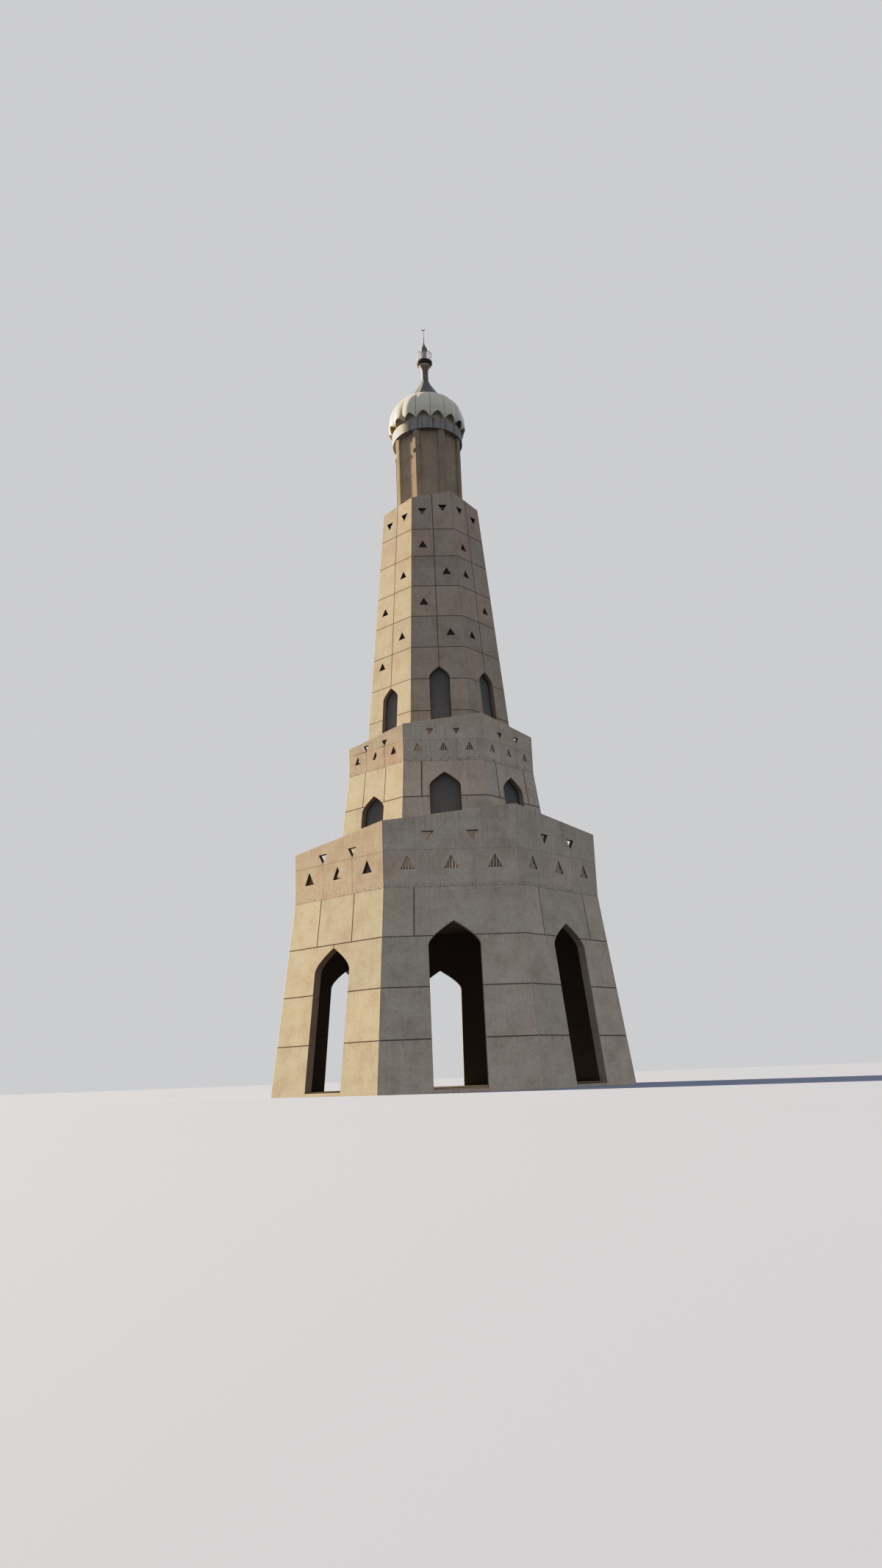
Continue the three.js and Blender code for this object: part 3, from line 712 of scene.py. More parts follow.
def window_shade_sheets(name, material):
    """A dark grey sheet in each upright triangular window of the shaft, set back and let into its sides: it
    paints the shade inside the window.
    """
    front, back, rebate = 0.024, 0.028, 0.002
    skins = []
    for face, face_name in enumerate(FACES):
        for middle, pierced in zip(WINDOW_ROWS, WINDOW_SIDES[face_name]):
            if pierced != "-":
                window = shaft_window(-1 if pierced == "L" else 1, middle)
                skins.append(prism(SHAFT, face, evenly_inset(window, -rebate), front, back))
    build(name, skins, material)


def arch_frames(name, storey, material):
    """A frame inside each arch, in front of its pane: an oblong section carried round the arch's outline."""
    frame_width, frame_depth = 0.005, 0.01
    back = storey["thickness"] - 0.0005
    front = back - frame_depth
    skins = []
    for face, face_name in enumerate(FACES):
        arch = face_arch(storey, face_name)
        right = arch_edge(arch, arch["foot"], arch["spring"] + arch["rise"])[::-1]
        outline = np.concatenate([right, mirrored(right[:-1], ["free"] * 2)[0]])
        flat = np.array([evenly_inset(outline, step) for step in (0.0, 0.0, frame_width, frame_width)])
        depths = np.array([front, back, back, front])
        made = skin(on_wall(storey, face, flat, depths[:, None]), closed=True)
        skins.append(with_values(made, flat.reshape(-1, 2)[made["grid"]]))
    build(name, skins, material)


# Round pieces


def turned(profile, sides, start=0.0, closed=True):
    """A profile of (radius, height) points carried round the axis, listed down its outside and up its
    inside, or from the axis back to the axis when it isn't closed."""
    angle = start + full_turn(sides)
    radius, height = (np.array(profile)[:, axis, None] for axis in (0, 1))
    made = skin(polar(radius, angle, height), closed=closed)
    reach = radius.max()
    ring, point = np.divmod(made["grid"], sides)
    seam = (made["cell"] // 4) % sides == sides - 1
    around = (angle[point] + np.where(seam & (point == 0), 2 * math.pi, 0.0)) * reach
    made = with_values(made, np.stack([around, height[ring, 0]], 1))
    made["values"]["below"] = height.max() - height[ring, 0]
    return made


def finish_edges(piece, width):
    """A small bevel on every edge that turns by more than 30 degrees."""
    bevel = piece.modifiers.new("arris", "BEVEL")
    bevel.width = width
    bevel.segments = 2
    bevel.limit_method = "ANGLE"
    bevel.angle_limit = math.radians(30.0)
    bevel.harden_normals = True


# Paints sunlight into colours: paler or yellower on the side turned to the key lamp
def painted_sunlight_share(x, y):
    """How far a side is turned to the photograph's low sun. By its bearing in degrees it is 0 up to 40, 1
    from 100 to 212 and 0 again from 246, with an even change between."""
    bearing = np.degrees(np.arctan2(y, x)) % 360
    return np.interp(bearing, (40.0, 100.0, 212.0, 246.0), (0.0, 1.0, 1.0, 0.0))


def octagon_reach(angle, radius):
    """Distance of an octagon's edge from its middle: R cos(22.5°) / cos(angle from the face's middle)."""
    off = (angle - HALF_FACE) % FACE_TURN - HALF_FACE
    return radius * math.cos(HALF_FACE) / np.cos(off)


def drum(material):
    """The drum's plan carried from the roof to the beam. In plan each face has a pier at either end that
    stands proud of the panel between them, with a bevel on each pier's arris."""
    half, proud = DRUM_RADIUS * math.sin(HALF_FACE), DRUM_RADIUS * math.cos(HALF_FACE)
    bevel = 0.003
    pier = half - PIER_WIDTH
    x = np.array([-half + bevel, -pier - bevel, -pier, -pier, pier, pier, pier + bevel, half - bevel])
    sunk = np.array([0.0, 0.0, bevel, PANEL_DEPTH, PANEL_DEPTH, bevel, 0.0, 0.0])
    turn = np.arange(len(FACES))[:, None] * FACE_TURN
    y = -(proud - sunk)
    outer = np.stack([x * np.cos(turn) - y * np.sin(turn), x * np.sin(turn) + y * np.cos(turn)], -1)
    outer = outer.reshape(-1, 2)
    angle = np.arctan2(outer[:, 1], outer[:, 0])
    inner_radius = DRUM_RADIUS - (DRUM_WALL + PANEL_DEPTH) / math.cos(HALF_FACE)
    inner = outer / np.linalg.norm(outer, axis=1, keepdims=True) * octagon_reach(angle, inner_radius)[:, None]
    plan = np.array([outer, outer, inner, inner])
    height = np.array([BEAM_BOTTOM, ROOF_TERRACE, ROOF_TERRACE, BEAM_BOTTOM])
    rings = np.concatenate([plan, np.broadcast_to(height[:, None, None], (*plan.shape[:2], 1))], -1)
    made = skin(rings, closed=True)
    ring, point = np.divmod(made["grid"], plan.shape[1])
    face, place = np.divmod(point, len(x))
    across = np.tile(x, len(FACES))[point] + face * 2 * half
    made = with_values(made, np.stack([across, height[ring]], 1))
    depth = sunk[place]
    sunk_panel = (depth > 0.5 * PANEL_DEPTH) & (ring < 2)
    # A little more of the dirt darkening on the sunk panels than on the piers
    made["values"]["grime"] = np.where(sunk_panel, 0.2, 0.1)
    # The piers are darker than the panels, painted shade, and both are paler on the side turned to the key
    # lamp: painted sunlight
    sunny = painted_sunlight_share(outer[:, 0], outer[:, 1])[point]
    made["values"]["tone"] = np.where(sunk_panel, 0.45 + 0.55 * sunny, 0.1 + 0.3 * sunny)
    made["values"]["below"] = BEAM_BOTTOM - height[ring]
    build("drum_piers_and_panels", [made], material, ["drum_wall"])


def drum_fittings(material):
    """Small steel boxes for the drum's lights on the piers at two opposite pairs of corners, a clip beside
    each, and a cable pipe from one of them down to the roof."""
    half = DRUM_RADIUS * math.sin(HALF_FACE)
    storey = {"levels": (0.0, TOWER_TOP), "radii": (DRUM_RADIUS, DRUM_RADIUS)}
    box = {"low": 7.865, "high": 7.915, "half_width": 0.011, "stand": 0.012}
    clip = {"low": 7.925, "high": 7.965, "half_width": 0.004, "stand": 0.006}
    pipe = {"reach": 0.4215, "along": 0.15, "radius": 0.004}
    box_x, clip_x, let_in = half - 0.6 * PIER_WIDTH, clip["half_width"] - half + PIER_WIDTH, 0.002
    skins = []
    for corner in (0, 7, 3, 4):
        # A face's right pier carries the box, and the next face's left pier the clip
        for face, x, fitting in ((corner - 1, box_x, box), (corner, clip_x, clip)):
            half_size = fitting["half_width"]
            outline = block(x - half_size, x + half_size, fitting["low"], fitting["high"])
            skins.append(prism(storey, face, outline, -fitting["stand"], let_in))
    bearing = math.pi + math.atan2(pipe["along"], pipe["reach"])
    distance = math.hypot(pipe["reach"], pipe["along"])
    skins.append(post(bearing, distance, ROOF_TERRACE, box["high"], pipe["radius"]))
    finish_edges(build("drum_fittings", skins, material), 0.0015)


def dome_radius(z):
    """Half the dome's width at a height: a parabola below the widest level, and above it a squarish oval, R
    times (1 - rise^n)^(1/n)."""
    fall = np.clip((DOME_WIDEST - z) / (DOME_WIDEST - DOME_FOOT), 0.0, 1.0)
    rise = np.clip((z - DOME_WIDEST) / (DOME_CROWN - DOME_WIDEST), 0.0, 1.0)
    lower = DOME_RADIUS - (DOME_RADIUS - DOME_FOOT_RADIUS) * fall**2
    upper = DOME_RADIUS * (1 - rise**DOME_SQUARENESS) ** (1 / DOME_SQUARENESS)
    return np.where(z < DOME_WIDEST, lower, upper)


def crowded(steps, pull):
    """Shares from 0 to just under 1 that stand closer at both ends: j / n - pull sin(2 pi j / n) / (2 pi)."""
    even = np.arange(steps) / steps
    return even - pull * np.sin(2 * math.pi * even) / (2 * math.pi)


def ribbed_dome(material):
    """Sixteen swelling gores whose lower edge rises to a pointed arch.

    The two parameters are the angle and a level that runs from the petals' edge (0) to the rim of the crown
    (1). A gore's radius is the dome's times 1 + bulge (sin(pi share) - 1/2) sqrt(1 - level), less a groove
    along each seam and with a lip along the petals' edge. The inner skin lies a shell's thickness inside,
    thinner at the lip.
    """
    steps, levels, inner_levels = 26, 44, 14
    groove_depth, groove_width, seam_dirt_width = 0.003, 0.002, 0.0045
    lip, lip_height, thinning_height = 0.0025, 0.005, 0.05
    share = np.tile(crowded(steps, 0.88), DOME_GORES)
    gore = np.repeat(np.arange(DOME_GORES), steps)
    angle = DOME_TURN + (gore + share) / DOME_GORES * 2 * math.pi
    bow = np.sin(math.pi * share)
    side = 1 - np.abs(2 * share - 1)
    petal = PETAL_POINT * side + (1 - PETAL_POINT) * (1 - (1 - side) ** 2)
    foot = DOME_FOOT + FIT + PETAL_RISE * petal
    from_seam = np.minimum(share, 1 - share) * 2 * math.pi * DOME_RADIUS / DOME_GORES

    def ring(level, inside):
        height = foot + (DOME_RIM - foot) * (1 - (1 - level) ** LEVEL_CROWDING)
        swell = 1 + GORE_BULGE * (bow - 0.5) * np.sqrt(1 - level)
        crown_fade = np.clip((1 - level) * 8, 0.0, 1.0)
        groove = groove_depth * np.exp(-((from_seam / groove_width) ** 2)) * crown_fade
        roll = lip * np.exp(-(height - foot) / lip_height)
        shell = DOME_SHELL - (DOME_SHELL - PETAL_LIP) * np.exp(-(height - foot) / thinning_height)
        radius = dome_radius(height) * swell - groove + roll - inside * shell
        return polar(radius, angle, height - inside * shell * level * (level < 1))

    outer = [ring(level, 0.0) for level in np.linspace(1.0, 0.0, levels) ** 1.5]
    inner = [ring(level, 1.0) for level in np.linspace(0.0, 1.0, inner_levels)]
    made = skin(np.array(outer + inner), closed=True)
    point = made["grid"] % len(share)
    height = at_corners(made)[:, 2]
    around = angle[point] * DOME_RADIUS
    made = with_values(made, np.stack([around, height], 1))
    made["values"]["grime"] = np.exp(-((from_seam[point] / seam_dirt_width) ** 2))
    made["values"]["below"] = height - foot[point]
    # The side turned to the key lamp is painted yellower: painted sunlight
    made["values"]["tone"] = painted_sunlight_share(np.cos(angle[point]), np.sin(angle[point]))
    build("dome_gores", [made], material, ["ribbed_dome"], sharp_over=50)


def ring_beam(material):
    """The round beam: its section with a drip groove below and a bevel above, carried round the axis."""
    drip, bevel = 0.006, 0.004
    section = [
        (BEAM_RADIUS - bevel, DOME_FOOT),
        (BEAM_RADIUS, DOME_FOOT - bevel),
        (BEAM_RADIUS, BEAM_BOTTOM + bevel / 2),
        (BEAM_RADIUS - bevel / 2, BEAM_BOTTOM),
        (BEAM_RADIUS - 2 * drip, BEAM_BOTTOM),
        (BEAM_RADIUS - 2 * drip, BEAM_BOTTOM + drip),
        (BEAM_RADIUS - 3 * drip, BEAM_BOTTOM + drip),
        (BEAM_RADIUS - 3 * drip, BEAM_BOTTOM),
        (BEAM_INNER_RADIUS, BEAM_BOTTOM),
        (BEAM_INNER_RADIUS, DOME_FOOT),
    ]
    made = turned(section, 192, start=DOME_TURN)
    x, y, height = at_corners(made).T
    # Paler on the side turned to the key lamp, painted sunlight, and stained on the other sides
    stained, sunlit_tone = 0.15, 1.0
    made["values"]["tone"] = stained + (sunlit_tone - stained) * painted_sunlight_share(x, y)
    # Painted shade on its underside and in its drip groove
    underneath = (height < BEAM_BOTTOM + 0.001) | (np.hypot(x, y) < BEAM_RADIUS - 0.01)
    made["values"]["shelter"] = np.where(underneath & (height < BEAM_BOTTOM + 0.01), 0.6, 0.0)
    build("ring_beam_cast", [made], material, ["ring_beam"], sharp_over=25)


def flared_skirt(material):
    """Eight sheets that flare from the neck to the dome's rim: the radius is neck + (foot - neck) (1 -
    u)^1.25 for the share u of the height, drawn in to an octagon between standing seams. Each sheet's foot
    has a small drain arch."""
    steps, levels, sheet, seam, seam_width = 14, 26, 0.005, 0.0022, 0.0025
    drain_rise, drain_half = 0.013, 0.16
    map_radius, seam_dirt_share = 0.1, 0.05
    share = np.tile(crowded(steps, 0.85), len(FACES))
    angle = HALF_FACE + (np.repeat(np.arange(len(FACES)), steps) + share) * FACE_TURN
    drain = drain_rise * np.clip(1 - ((share - 0.5) / drain_half) ** 2, 0.0, 1.0) ** 0.5

    def ring(level, inside):
        foot = SKIRT_FOOT + drain
        height = foot + (NECK_BOTTOM - foot) * level
        u = (height - SKIRT_FOOT) / (NECK_BOTTOM - SKIRT_FOOT)
        reach = NECK_RADIUS + (SKIRT_RADIUS - NECK_RADIUS) * (1 - u) ** SKIRT_FLARE
        flat = octagon_reach(angle, reach)
        to_seam = np.minimum(share, 1 - share) * FACE_TURN * reach
        radius = flat + seam * np.exp(-((to_seam / seam_width) ** 2)) * (1 - u) - inside * sheet
        return polar(radius, angle, height)

    outer = [ring(level, 0.0) for level in np.linspace(1.0, 0.0, levels)]
    inner = [ring(level, 1.0) for level in np.linspace(0.0, 1.0, levels // 3)]
    made = skin(np.array(outer + inner), closed=True)
    point = made["grid"] % len(share)
    height = at_corners(made)[:, 2]
    made = with_values(made, np.stack([angle[point] * map_radius, height], 1))
    made["values"]["grime"] = np.exp(-((np.minimum(share, 1 - share)[point] / seam_dirt_share) ** 2))
    made["values"]["below"] = NECK_BOTTOM - height
    build("skirt_sheets", [made], material, ["flared_skirt"], sharp_over=35)


def arc(centre, radius, start, stop, steps):
    """Profile points on a circle, from one angle in degrees to another."""
    turn = np.radians(np.linspace(start, stop, steps))
    return [(centre[0] + radius * math.cos(a), centre[1] + radius * math.sin(a)) for a in turn]


def neck_and_collar(metal, tan, pale):
    """A straight neck with a thin bead at its foot, and a collar that flares up to a pale ring under the
    balcony: its radius is foot + (head - foot) u^1.6 for the share u of its height."""
    bead = arc((NECK_RADIUS, NECK_BOTTOM + 0.005), 0.0025, 80, -80, 5)
    neck = [(0, NECK_TOP), (NECK_RADIUS, NECK_TOP), *bead, (NECK_RADIUS, NECK_BOTTOM), (0, NECK_BOTTOM)]
    build("neck_tube", [turned(neck, 64, closed=False)], metal, ["neck"], sharp_over=35)
    ring_depth, head = 0.016, 0.07
    flare_top = BALCONY_BOTTOM - ring_depth
    rise = np.linspace(1.0, 0.0, 9)
    reach = COLLAR_FOOT_RADIUS + (head - COLLAR_FOOT_RADIUS) * rise**1.6
    flare = list(zip(reach, NECK_TOP + (flare_top - NECK_TOP) * rise))
    cone = [(0, flare_top), *flare, (0, NECK_TOP)]
    build("collar_flare", [turned(cone, 64, closed=False)], tan, ["collar"], sharp_over=35)
    middle = BALCONY_BOTTOM - ring_depth / 2
    ring = [
        (0, BALCONY_BOTTOM),
        (COLLAR_RADIUS - 0.003, BALCONY_BOTTOM),
        *arc((COLLAR_RADIUS - 0.006, middle), ring_depth / 2 - 0.001, 60, -60, 7),
        (COLLAR_RADIUS - 0.005, flare_top),
        (0, flare_top),
    ]
    build("collar_ring", [turned(ring, 64, closed=False)], pale, sharp_over=35)


def balcony(metal):
    """The balcony's bowl: sixteen flat sheets between thin seams, which swell from its foot to a kerb."""
    top, foot = LANTERN_FLOOR, BALCONY_BOTTOM
    bowl = [
        (0, top),
        (BALCONY_RADIUS - 0.006, top),
        (BALCONY_RADIUS, top - 0.002),
        (BALCONY_RADIUS, top - 0.012),
        (BALCONY_RADIUS - 0.0025, foot + 0.026),
        (BALCONY_BELLY_RADIUS, foot + 0.016),
        (0.5 * (BALCONY_BELLY_RADIUS + BALCONY_FOOT_RADIUS) + 0.002, foot + 0.006),
        (BALCONY_FOOT_RADIUS, foot),
        (0, foot),
    ]
    sheets = 16
    bowl_skin = turned(bowl, sheets, start=math.pi / sheets, closed=False)
    build("balcony_bowl", [bowl_skin], metal, ["balcony"])
    seams = full_turn(sheets) + math.pi / sheets
    skins = [post(angle, BALCONY_RADIUS - 0.001, foot + 0.03, top - 0.002, 0.0018) for angle in seams]
    build("balcony_seams", skins, metal, sharp_over=40)


def post(angle, reach, low, high, radius):
    """A round post of eight sides at a bearing and a distance from the axis."""
    sides = 8
    turn = full_turn(sides)
    centre = reach * np.array([math.cos(angle), math.sin(angle)])
    rim = radius * np.stack([np.cos(turn), np.sin(turn)], 1)
    rings = []
    for height, width in ((high, 0.0), (high, 1.0), (low, 1.0), (low, 0.0)):
        rings.append(np.column_stack([centre + rim * width, np.full(sides, height)]))
    made = skin(np.array(rings))
    return with_values(made, np.stack([turn[made["grid"] % sides] * radius, at_corners(made)[:, 2]], 1))


def lantern(glass, metal, dark):
    """A ring of curved panes between twelve thin posts, with a rail at its head and another at its foot,
    round a dark core. It is open on top."""
    pane = [
        (LANTERN_RADIUS, LANTERN_TOP),
        (LANTERN_RADIUS, LANTERN_FLOOR),
        (LANTERN_RADIUS - 0.003, LANTERN_FLOOR),
        (LANTERN_RADIUS - 0.003, LANTERN_TOP),
    ]
    build("lantern_panes", [turned(pane, 72)], glass, ["lantern_glass"], sharp_over=35)
    skins = []
    for z in (LANTERN_FLOOR + 0.003, LANTERN_TOP - 0.001):
        section = arc((LANTERN_RADIUS - 0.001, z), 0.0032, 90, -270, 9)[:-1]
        skins.append(turned(section, 72))
    posts, posts_turn, fins_round_core = 12, 0.13, 6
    for angle in full_turn(posts) + posts_turn:
        skins.append(post(angle, LANTERN_RADIUS - 0.001, LANTERN_FLOOR, LANTERN_TOP, 0.0024))
    build("lantern_frame", skins, metal, sharp_over=40)
    core = [(0, CAP_BOTTOM), (CORE_RADIUS, CAP_BOTTOM), (CORE_RADIUS, LANTERN_FLOOR), (0, LANTERN_FLOOR)]
    fins = [turned(core, 32, closed=False)]
    for angle in full_turn(fins_round_core):
        fins.append(post(angle, CORE_RADIUS + 0.001, LANTERN_FLOOR, CAP_BOTTOM, 0.004))
    build("lantern_drum", fins, dark, ["lantern_core"], sharp_over=35)


def cap_and_mast(metal):
    """The cap swells to a rounded shoulder and draws in to a spike, and the mast has a joint ring."""
    foot, top = CAP_BOTTOM, MAST_FOOT
    # Radius at heights over the cap's foot, read off the photograph in millimetres
    outline = ((0, 38), (6, 38.5), (11, 40), (18, 42), (25, 43.5), (38, 44.5), (50, 43.5), (60, 41), (71, 36))
    outline += ((80, 30.5), (90, 25), (100, 20.5), (112, 16), (124, 13), (135, 11))
    profile = [(radius / 1000, foot + height / 1000) for height, radius in outline[::-1]]
    onion = turned([(0, top), *profile, (0, foot)], 48, closed=False)
    build("cap_onion", [onion], metal, ["cap"], sharp_over=40)
    spike = 0.028
    rod = [
        (0, EMBLEM_FOOT),
        (MAST_TIP_RADIUS, EMBLEM_FOOT),
        (0.0046, MAST_FOOT + 0.13),
        (0.0052, MAST_FOOT + 0.078),
        *arc((0.005, MAST_FOOT + 0.073), 0.0032, 80, -80, 5),
        (0.0058, MAST_FOOT + 0.065),
        (0.0068, MAST_FOOT + spike),
        (0.0083, MAST_FOOT + spike / 2),
        (0.0108, MAST_FOOT),
        (0, MAST_FOOT),
    ]
    build("mast_rod", [turned(rod, 20, closed=False)], metal, ["mast"], sharp_over=40)


def emblem(metal):
    """A crescent, horns up: between an outer circle and a smaller one set higher, with an oval section that
    thins to nothing at the horns. A point is middle + (outer - inner) / 2 cos v + depth / 2 sin v."""
    radius = EMBLEM_RADIUS
    horn = math.asin((TOWER_TOP - EMBLEM_FOOT - radius) / radius)
    tip = radius * np.array([math.cos(horn), math.sin(horn)])
    lift = EMBLEM_HOLLOW_LIFT * radius
    hollow = math.hypot(tip[0], tip[1] - lift)
    inner_horn = math.atan2(tip[1] - lift, tip[0])
    along = np.linspace(0.0, 1.0, 33)
    outer_angle = horn - along * (math.pi + 2 * horn)
    inner_angle = inner_horn - along * (math.pi + 2 * inner_horn)
    outer = radius * np.stack([np.cos(outer_angle), np.sin(outer_angle)], 1)
    inner = hollow * np.stack([np.cos(inner_angle), np.sin(inner_angle)], 1) + np.array([0.0, lift])
    turn = full_turn(10)
    depth = EMBLEM_DEPTH / 2 * np.sqrt(np.sin(math.pi * along))[:, None]
    flat = (outer + inner)[:, None] / 2 + (outer - inner)[:, None] / 2 * np.cos(turn)[None, :, None]
    y = depth * np.sin(turn)
    rings = np.stack([flat[..., 0], y, flat[..., 1] + EMBLEM_FOOT + radius], -1)
    made = skin(rings)
    made = with_values(made, at_corners(made)[:, [0, 2]])
    build("emblem_crescent", [made], metal, ["emblem"], sharp_over=50)


# Materials

# Numbers of the Mix node's colour sockets, which share their names with its other sockets
SHARE, UNDER, OVER, RESULT = 0, 6, 7, 2


def linear(code):
    """An sRGB hex colour as linear red, green, blue and an alpha of 1."""
    channel = np.array([int(code[i : i + 2], 16) for i in (1, 3, 5)]) / 255.0
    curved = ((channel + 0.055) / 1.055) ** 2.4
    return (*np.where(channel <= 0.04045, channel / 12.92, curved).tolist(), 1.0)


def node(tree, kind, output, inputs=None, ramp=(), **settings):
    """Adds a node with its settings, and its values or links by input name or number, and gives one of its
    outputs. A ramp's stops are a place and an sRGB hex colour or a grey level."""
    made = tree.nodes.new("ShaderNode" + kind)
    for name, value in settings.items():
        setattr(made, name, value)
    for key, value in (inputs or {}).items():
        if isinstance(value, bpy.types.NodeSocket):
            tree.links.new(value, made.inputs[key])
        else:
            made.inputs[key].default_value = value
    if ramp:
        elements = made.color_ramp.elements
        while len(elements) < len(ramp):
            elements.new(0.5)
        for element, (place, colour) in zip(elements, ramp):
            element.position = place
            element.color = linear(colour) if isinstance(colour, str) else (colour, colour, colour, 1.0)
    return made.outputs[output]


def new_material(name, **values):
    """A node material, its tree and its place in the object's coordinates. The values are what is the same
    all over it, set on the shader's own sockets."""
    material = bpy.data.materials.new(name)
    material.use_nodes = True
    tree = material.node_tree
    for key, value in values.items():
        tree.nodes["Principled BSDF"].inputs[key.replace("_", " ")].default_value = value
    return material, tree, node(tree, "TexCoord", "Object")


def wired(material, **sockets):
    """Links outputs to the shader's sockets and gives the finished material."""
    tree = material.node_tree
    for name, output in sockets.items():
        tree.links.new(output, tree.nodes["Principled BSDF"].inputs[name.replace("_", " ")])
    return material


def five_tones(*colours):
    """Stops of a ramp for the five tones of a wall's panels."""
    return list(zip((0.0, 0.3, 0.6, 0.85, 1.0), colours))


def clouded(*colours):
    """Stops of a ramp for the dark, middle and light parts of a cloudy finish."""
    return list(zip((0.32, 0.5, 0.68), colours))


def cast_concrete(name, tones, sheets, streaks, stain="#6B5C49"):
    """Precast concrete, cast against sheets of plywood or boards and left bare. The eye sees panels of
    slightly different tones, faint lines where the sheets met, cloudy mottling, rain streaks under the
    parapets and below the joints, and dirt in the joints. Shade is painted onto the sides of the openings
    and the parapets' rears, and the paler arrises at the corners are wear with a painted highlight."""
    material, tree, place = new_material(name, IOR=1.5, Specular_IOR_Level=0.25)
    keys = ("tone", "grime", "shelter", "corner", "below", "under")
    value = {key: node(tree, "Attribute", "Fac", attribute_name=key) for key in keys}
    face = node(tree, "UVMap", "UV", uv_map="face")
    colour = node(tree, "ValToRGB", "Color", {"Fac": value["tone"]}, tones)

    # Formwork sheets, with lines about 10 mm wide between them on the real tower
    tints = {"Color1": linear("#FFFFFF"), "Color2": linear("#F1EEE8"), "Mortar": linear("#C4BBAE")}
    lines = {"Scale": 1.0, "Mortar Size": 0.0009, "Mortar Smooth": 0.5}
    sizes = {"Brick Width": sheets[0], "Row Height": sheets[1]}
    boards = node(tree, "TexBrick", "Color", {"Vector": face, **tints, **lines, **sizes}, offset=0.5)

    # Clouds about 2 m across and blotches of about 0.3 m on the real tower
    clouds = node(tree, "TexNoise", "Fac", {"Vector": place, "Scale": 5.0, "Detail": 6.0, "Roughness": 0.62})
    cloudy = [(0.32, "#C9BFB1"), (0.5, "#EFEBE4"), (0.66, "#FFFFFF")]
    cloudy = node(tree, "ValToRGB", "Color", {"Fac": clouds}, cloudy)
    blotches = {"Vector": place, "Scale": 34.0, "Detail": 5.0, "Roughness": 0.7}
    blotches = node(tree, "TexNoise", "Fac", blotches)
    blotched = node(tree, "ValToRGB", "Color", {"Fac": blotches}, [(0.34, "#C6B8A4"), (0.54, "#FFFFFF")])
    for share, over in ((0.3, boards), (0.5, cloudy), (0.35, blotched)):
        inputs = {SHARE: share, UNDER: colour, OVER: over}
        colour = node(tree, "Mix", RESULT, inputs, data_type="RGBA", blend_type="MULTIPLY")

    # Rain streaks about 0.3 m wide and several metres long, strongest just under the parapet's edge
    down = node(tree, "Mapping", "Vector", {"Vector": face, "Scale": (34.0, 1.5, 1.0)})
    rain = node(tree, "TexNoise", "Fac", {"Vector": down, "Scale": 1.0, "Detail": 5.0, "Roughness": 0.6})
    rain = node(tree, "ValToRGB", "Color", {"Fac": rain}, [(0.5, 0.0), (0.72, 1.0)])
    wet = {"Value": value["below"], "From Max": 0.5, "To Min": streaks, "To Max": streaks * 0.3}
    wet = node(tree, "MapRange", "Result", wet)
    wet = node(tree, "Math", "Value", {0: rain, 1: wet}, operation="MULTIPLY")

    # Shorter, narrower runs of rust and dust out of the joint above each panel
    down = {"Vector": face, "Scale": (75.0, 5.0, 1.0), "Location": (7.0, 3.0, 0.0)}
    down = node(tree, "Mapping", "Vector", down)
    run = node(tree, "TexNoise", "Fac", {"Vector": down, "Scale": 1.0, "Detail": 4.0, "Roughness": 0.65})
    run = node(tree, "MapRange", "Result", {"Value": run, "From Min": 0.5, "From Max": 0.68})
    fade = {"Value": value["under"], "From Max": 0.2, "To Min": 0.42, "To Max": 0.0}
    fade = node(tree, "MapRange", "Result", fade)
    run = node(tree, "Math", "Value", {0: run, 1: fade}, operation="MULTIPLY")

    # Dirt that creeps out of the joints and fills them, a little uneven over about 0.3 m on the real tower
    patchy = {"Value": blotches, "From Min": 0.35, "From Max": 0.65, "To Min": 0.7}
    patchy = node(tree, "MapRange", "Result", patchy)
    dirt = node(tree, "Math", "Value", {0: value["grime"], 1: 3.0}, operation="POWER")
    dirt = node(tree, "Math", "Value", {0: dirt, 1: patchy}, operation="MULTIPLY")

    # Painted shade on the sides of the openings, on the parapets' rears and under the beam
    painted_shade_share = node(tree, "Math", "Value", {0: value["shelter"], 1: 0.92}, operation="MULTIPLY")

    # Paler arrises at the tower's corners, about 0.1 m wide on the real tower: wear, and a painted highlight
    arris_wear_and_highlight = {"Value": value["corner"], "From Min": 0.003, "From Max": 0.01, "To Min": 0.3, "To Max": 0.0}
    arris_wear_and_highlight = node(tree, "MapRange", "Result", arris_wear_and_highlight)
    layers = [(wet, stain), (run, "#6F5A43"), (dirt, "#5A4B3C"), (painted_shade_share, "#413730"), (arris_wear_and_highlight, "#DDD0BA")]

    # A crumbling line where a storey's parapet stands on its terrace: pale patches of mortar and dark spots
    height = node(tree, "SeparateXYZ", "Z", {"Vector": place})
    mortar = {"Value": blotches, "From Min": 0.5, "From Max": 0.58, "To Max": 0.5}
    mortar = node(tree, "MapRange", "Result", mortar)
    spots = node(tree, "TexNoise", "Fac", {"Vector": place, "Scale": 55.0, "Detail": 3.0})
    spots = {"Value": spots, "From Min": 0.56, "From Max": 0.64, "To Max": 0.75}
    spots = node(tree, "MapRange", "Result", spots)
    for terrace in (LOW_TERRACE, MIDDLE_TERRACE):
        off = node(tree, "Math", "Value", {0: height, 1: terrace + 0.016}, operation="SUBTRACT")
        off = node(tree, "Math", "Value", {0: off}, operation="ABSOLUTE")
        near = {"Value": off, "From Min": 0.012, "From Max": 0.032, "To Min": 0.9, "To Max": 0.0}
        near = node(tree, "MapRange", "Result", near)
        for patches, code in ((mortar, "#B9B1A6"), (spots, "#4B4238")):
            layers.append((node(tree, "Math", "Value", {0: near, 1: patches}, operation="MULTIPLY"), code))
    for share, code in layers:
        inputs = {SHARE: share, UNDER: colour, OVER: linear(code)}
        colour = node(tree, "Mix", RESULT, inputs, data_type="RGBA")

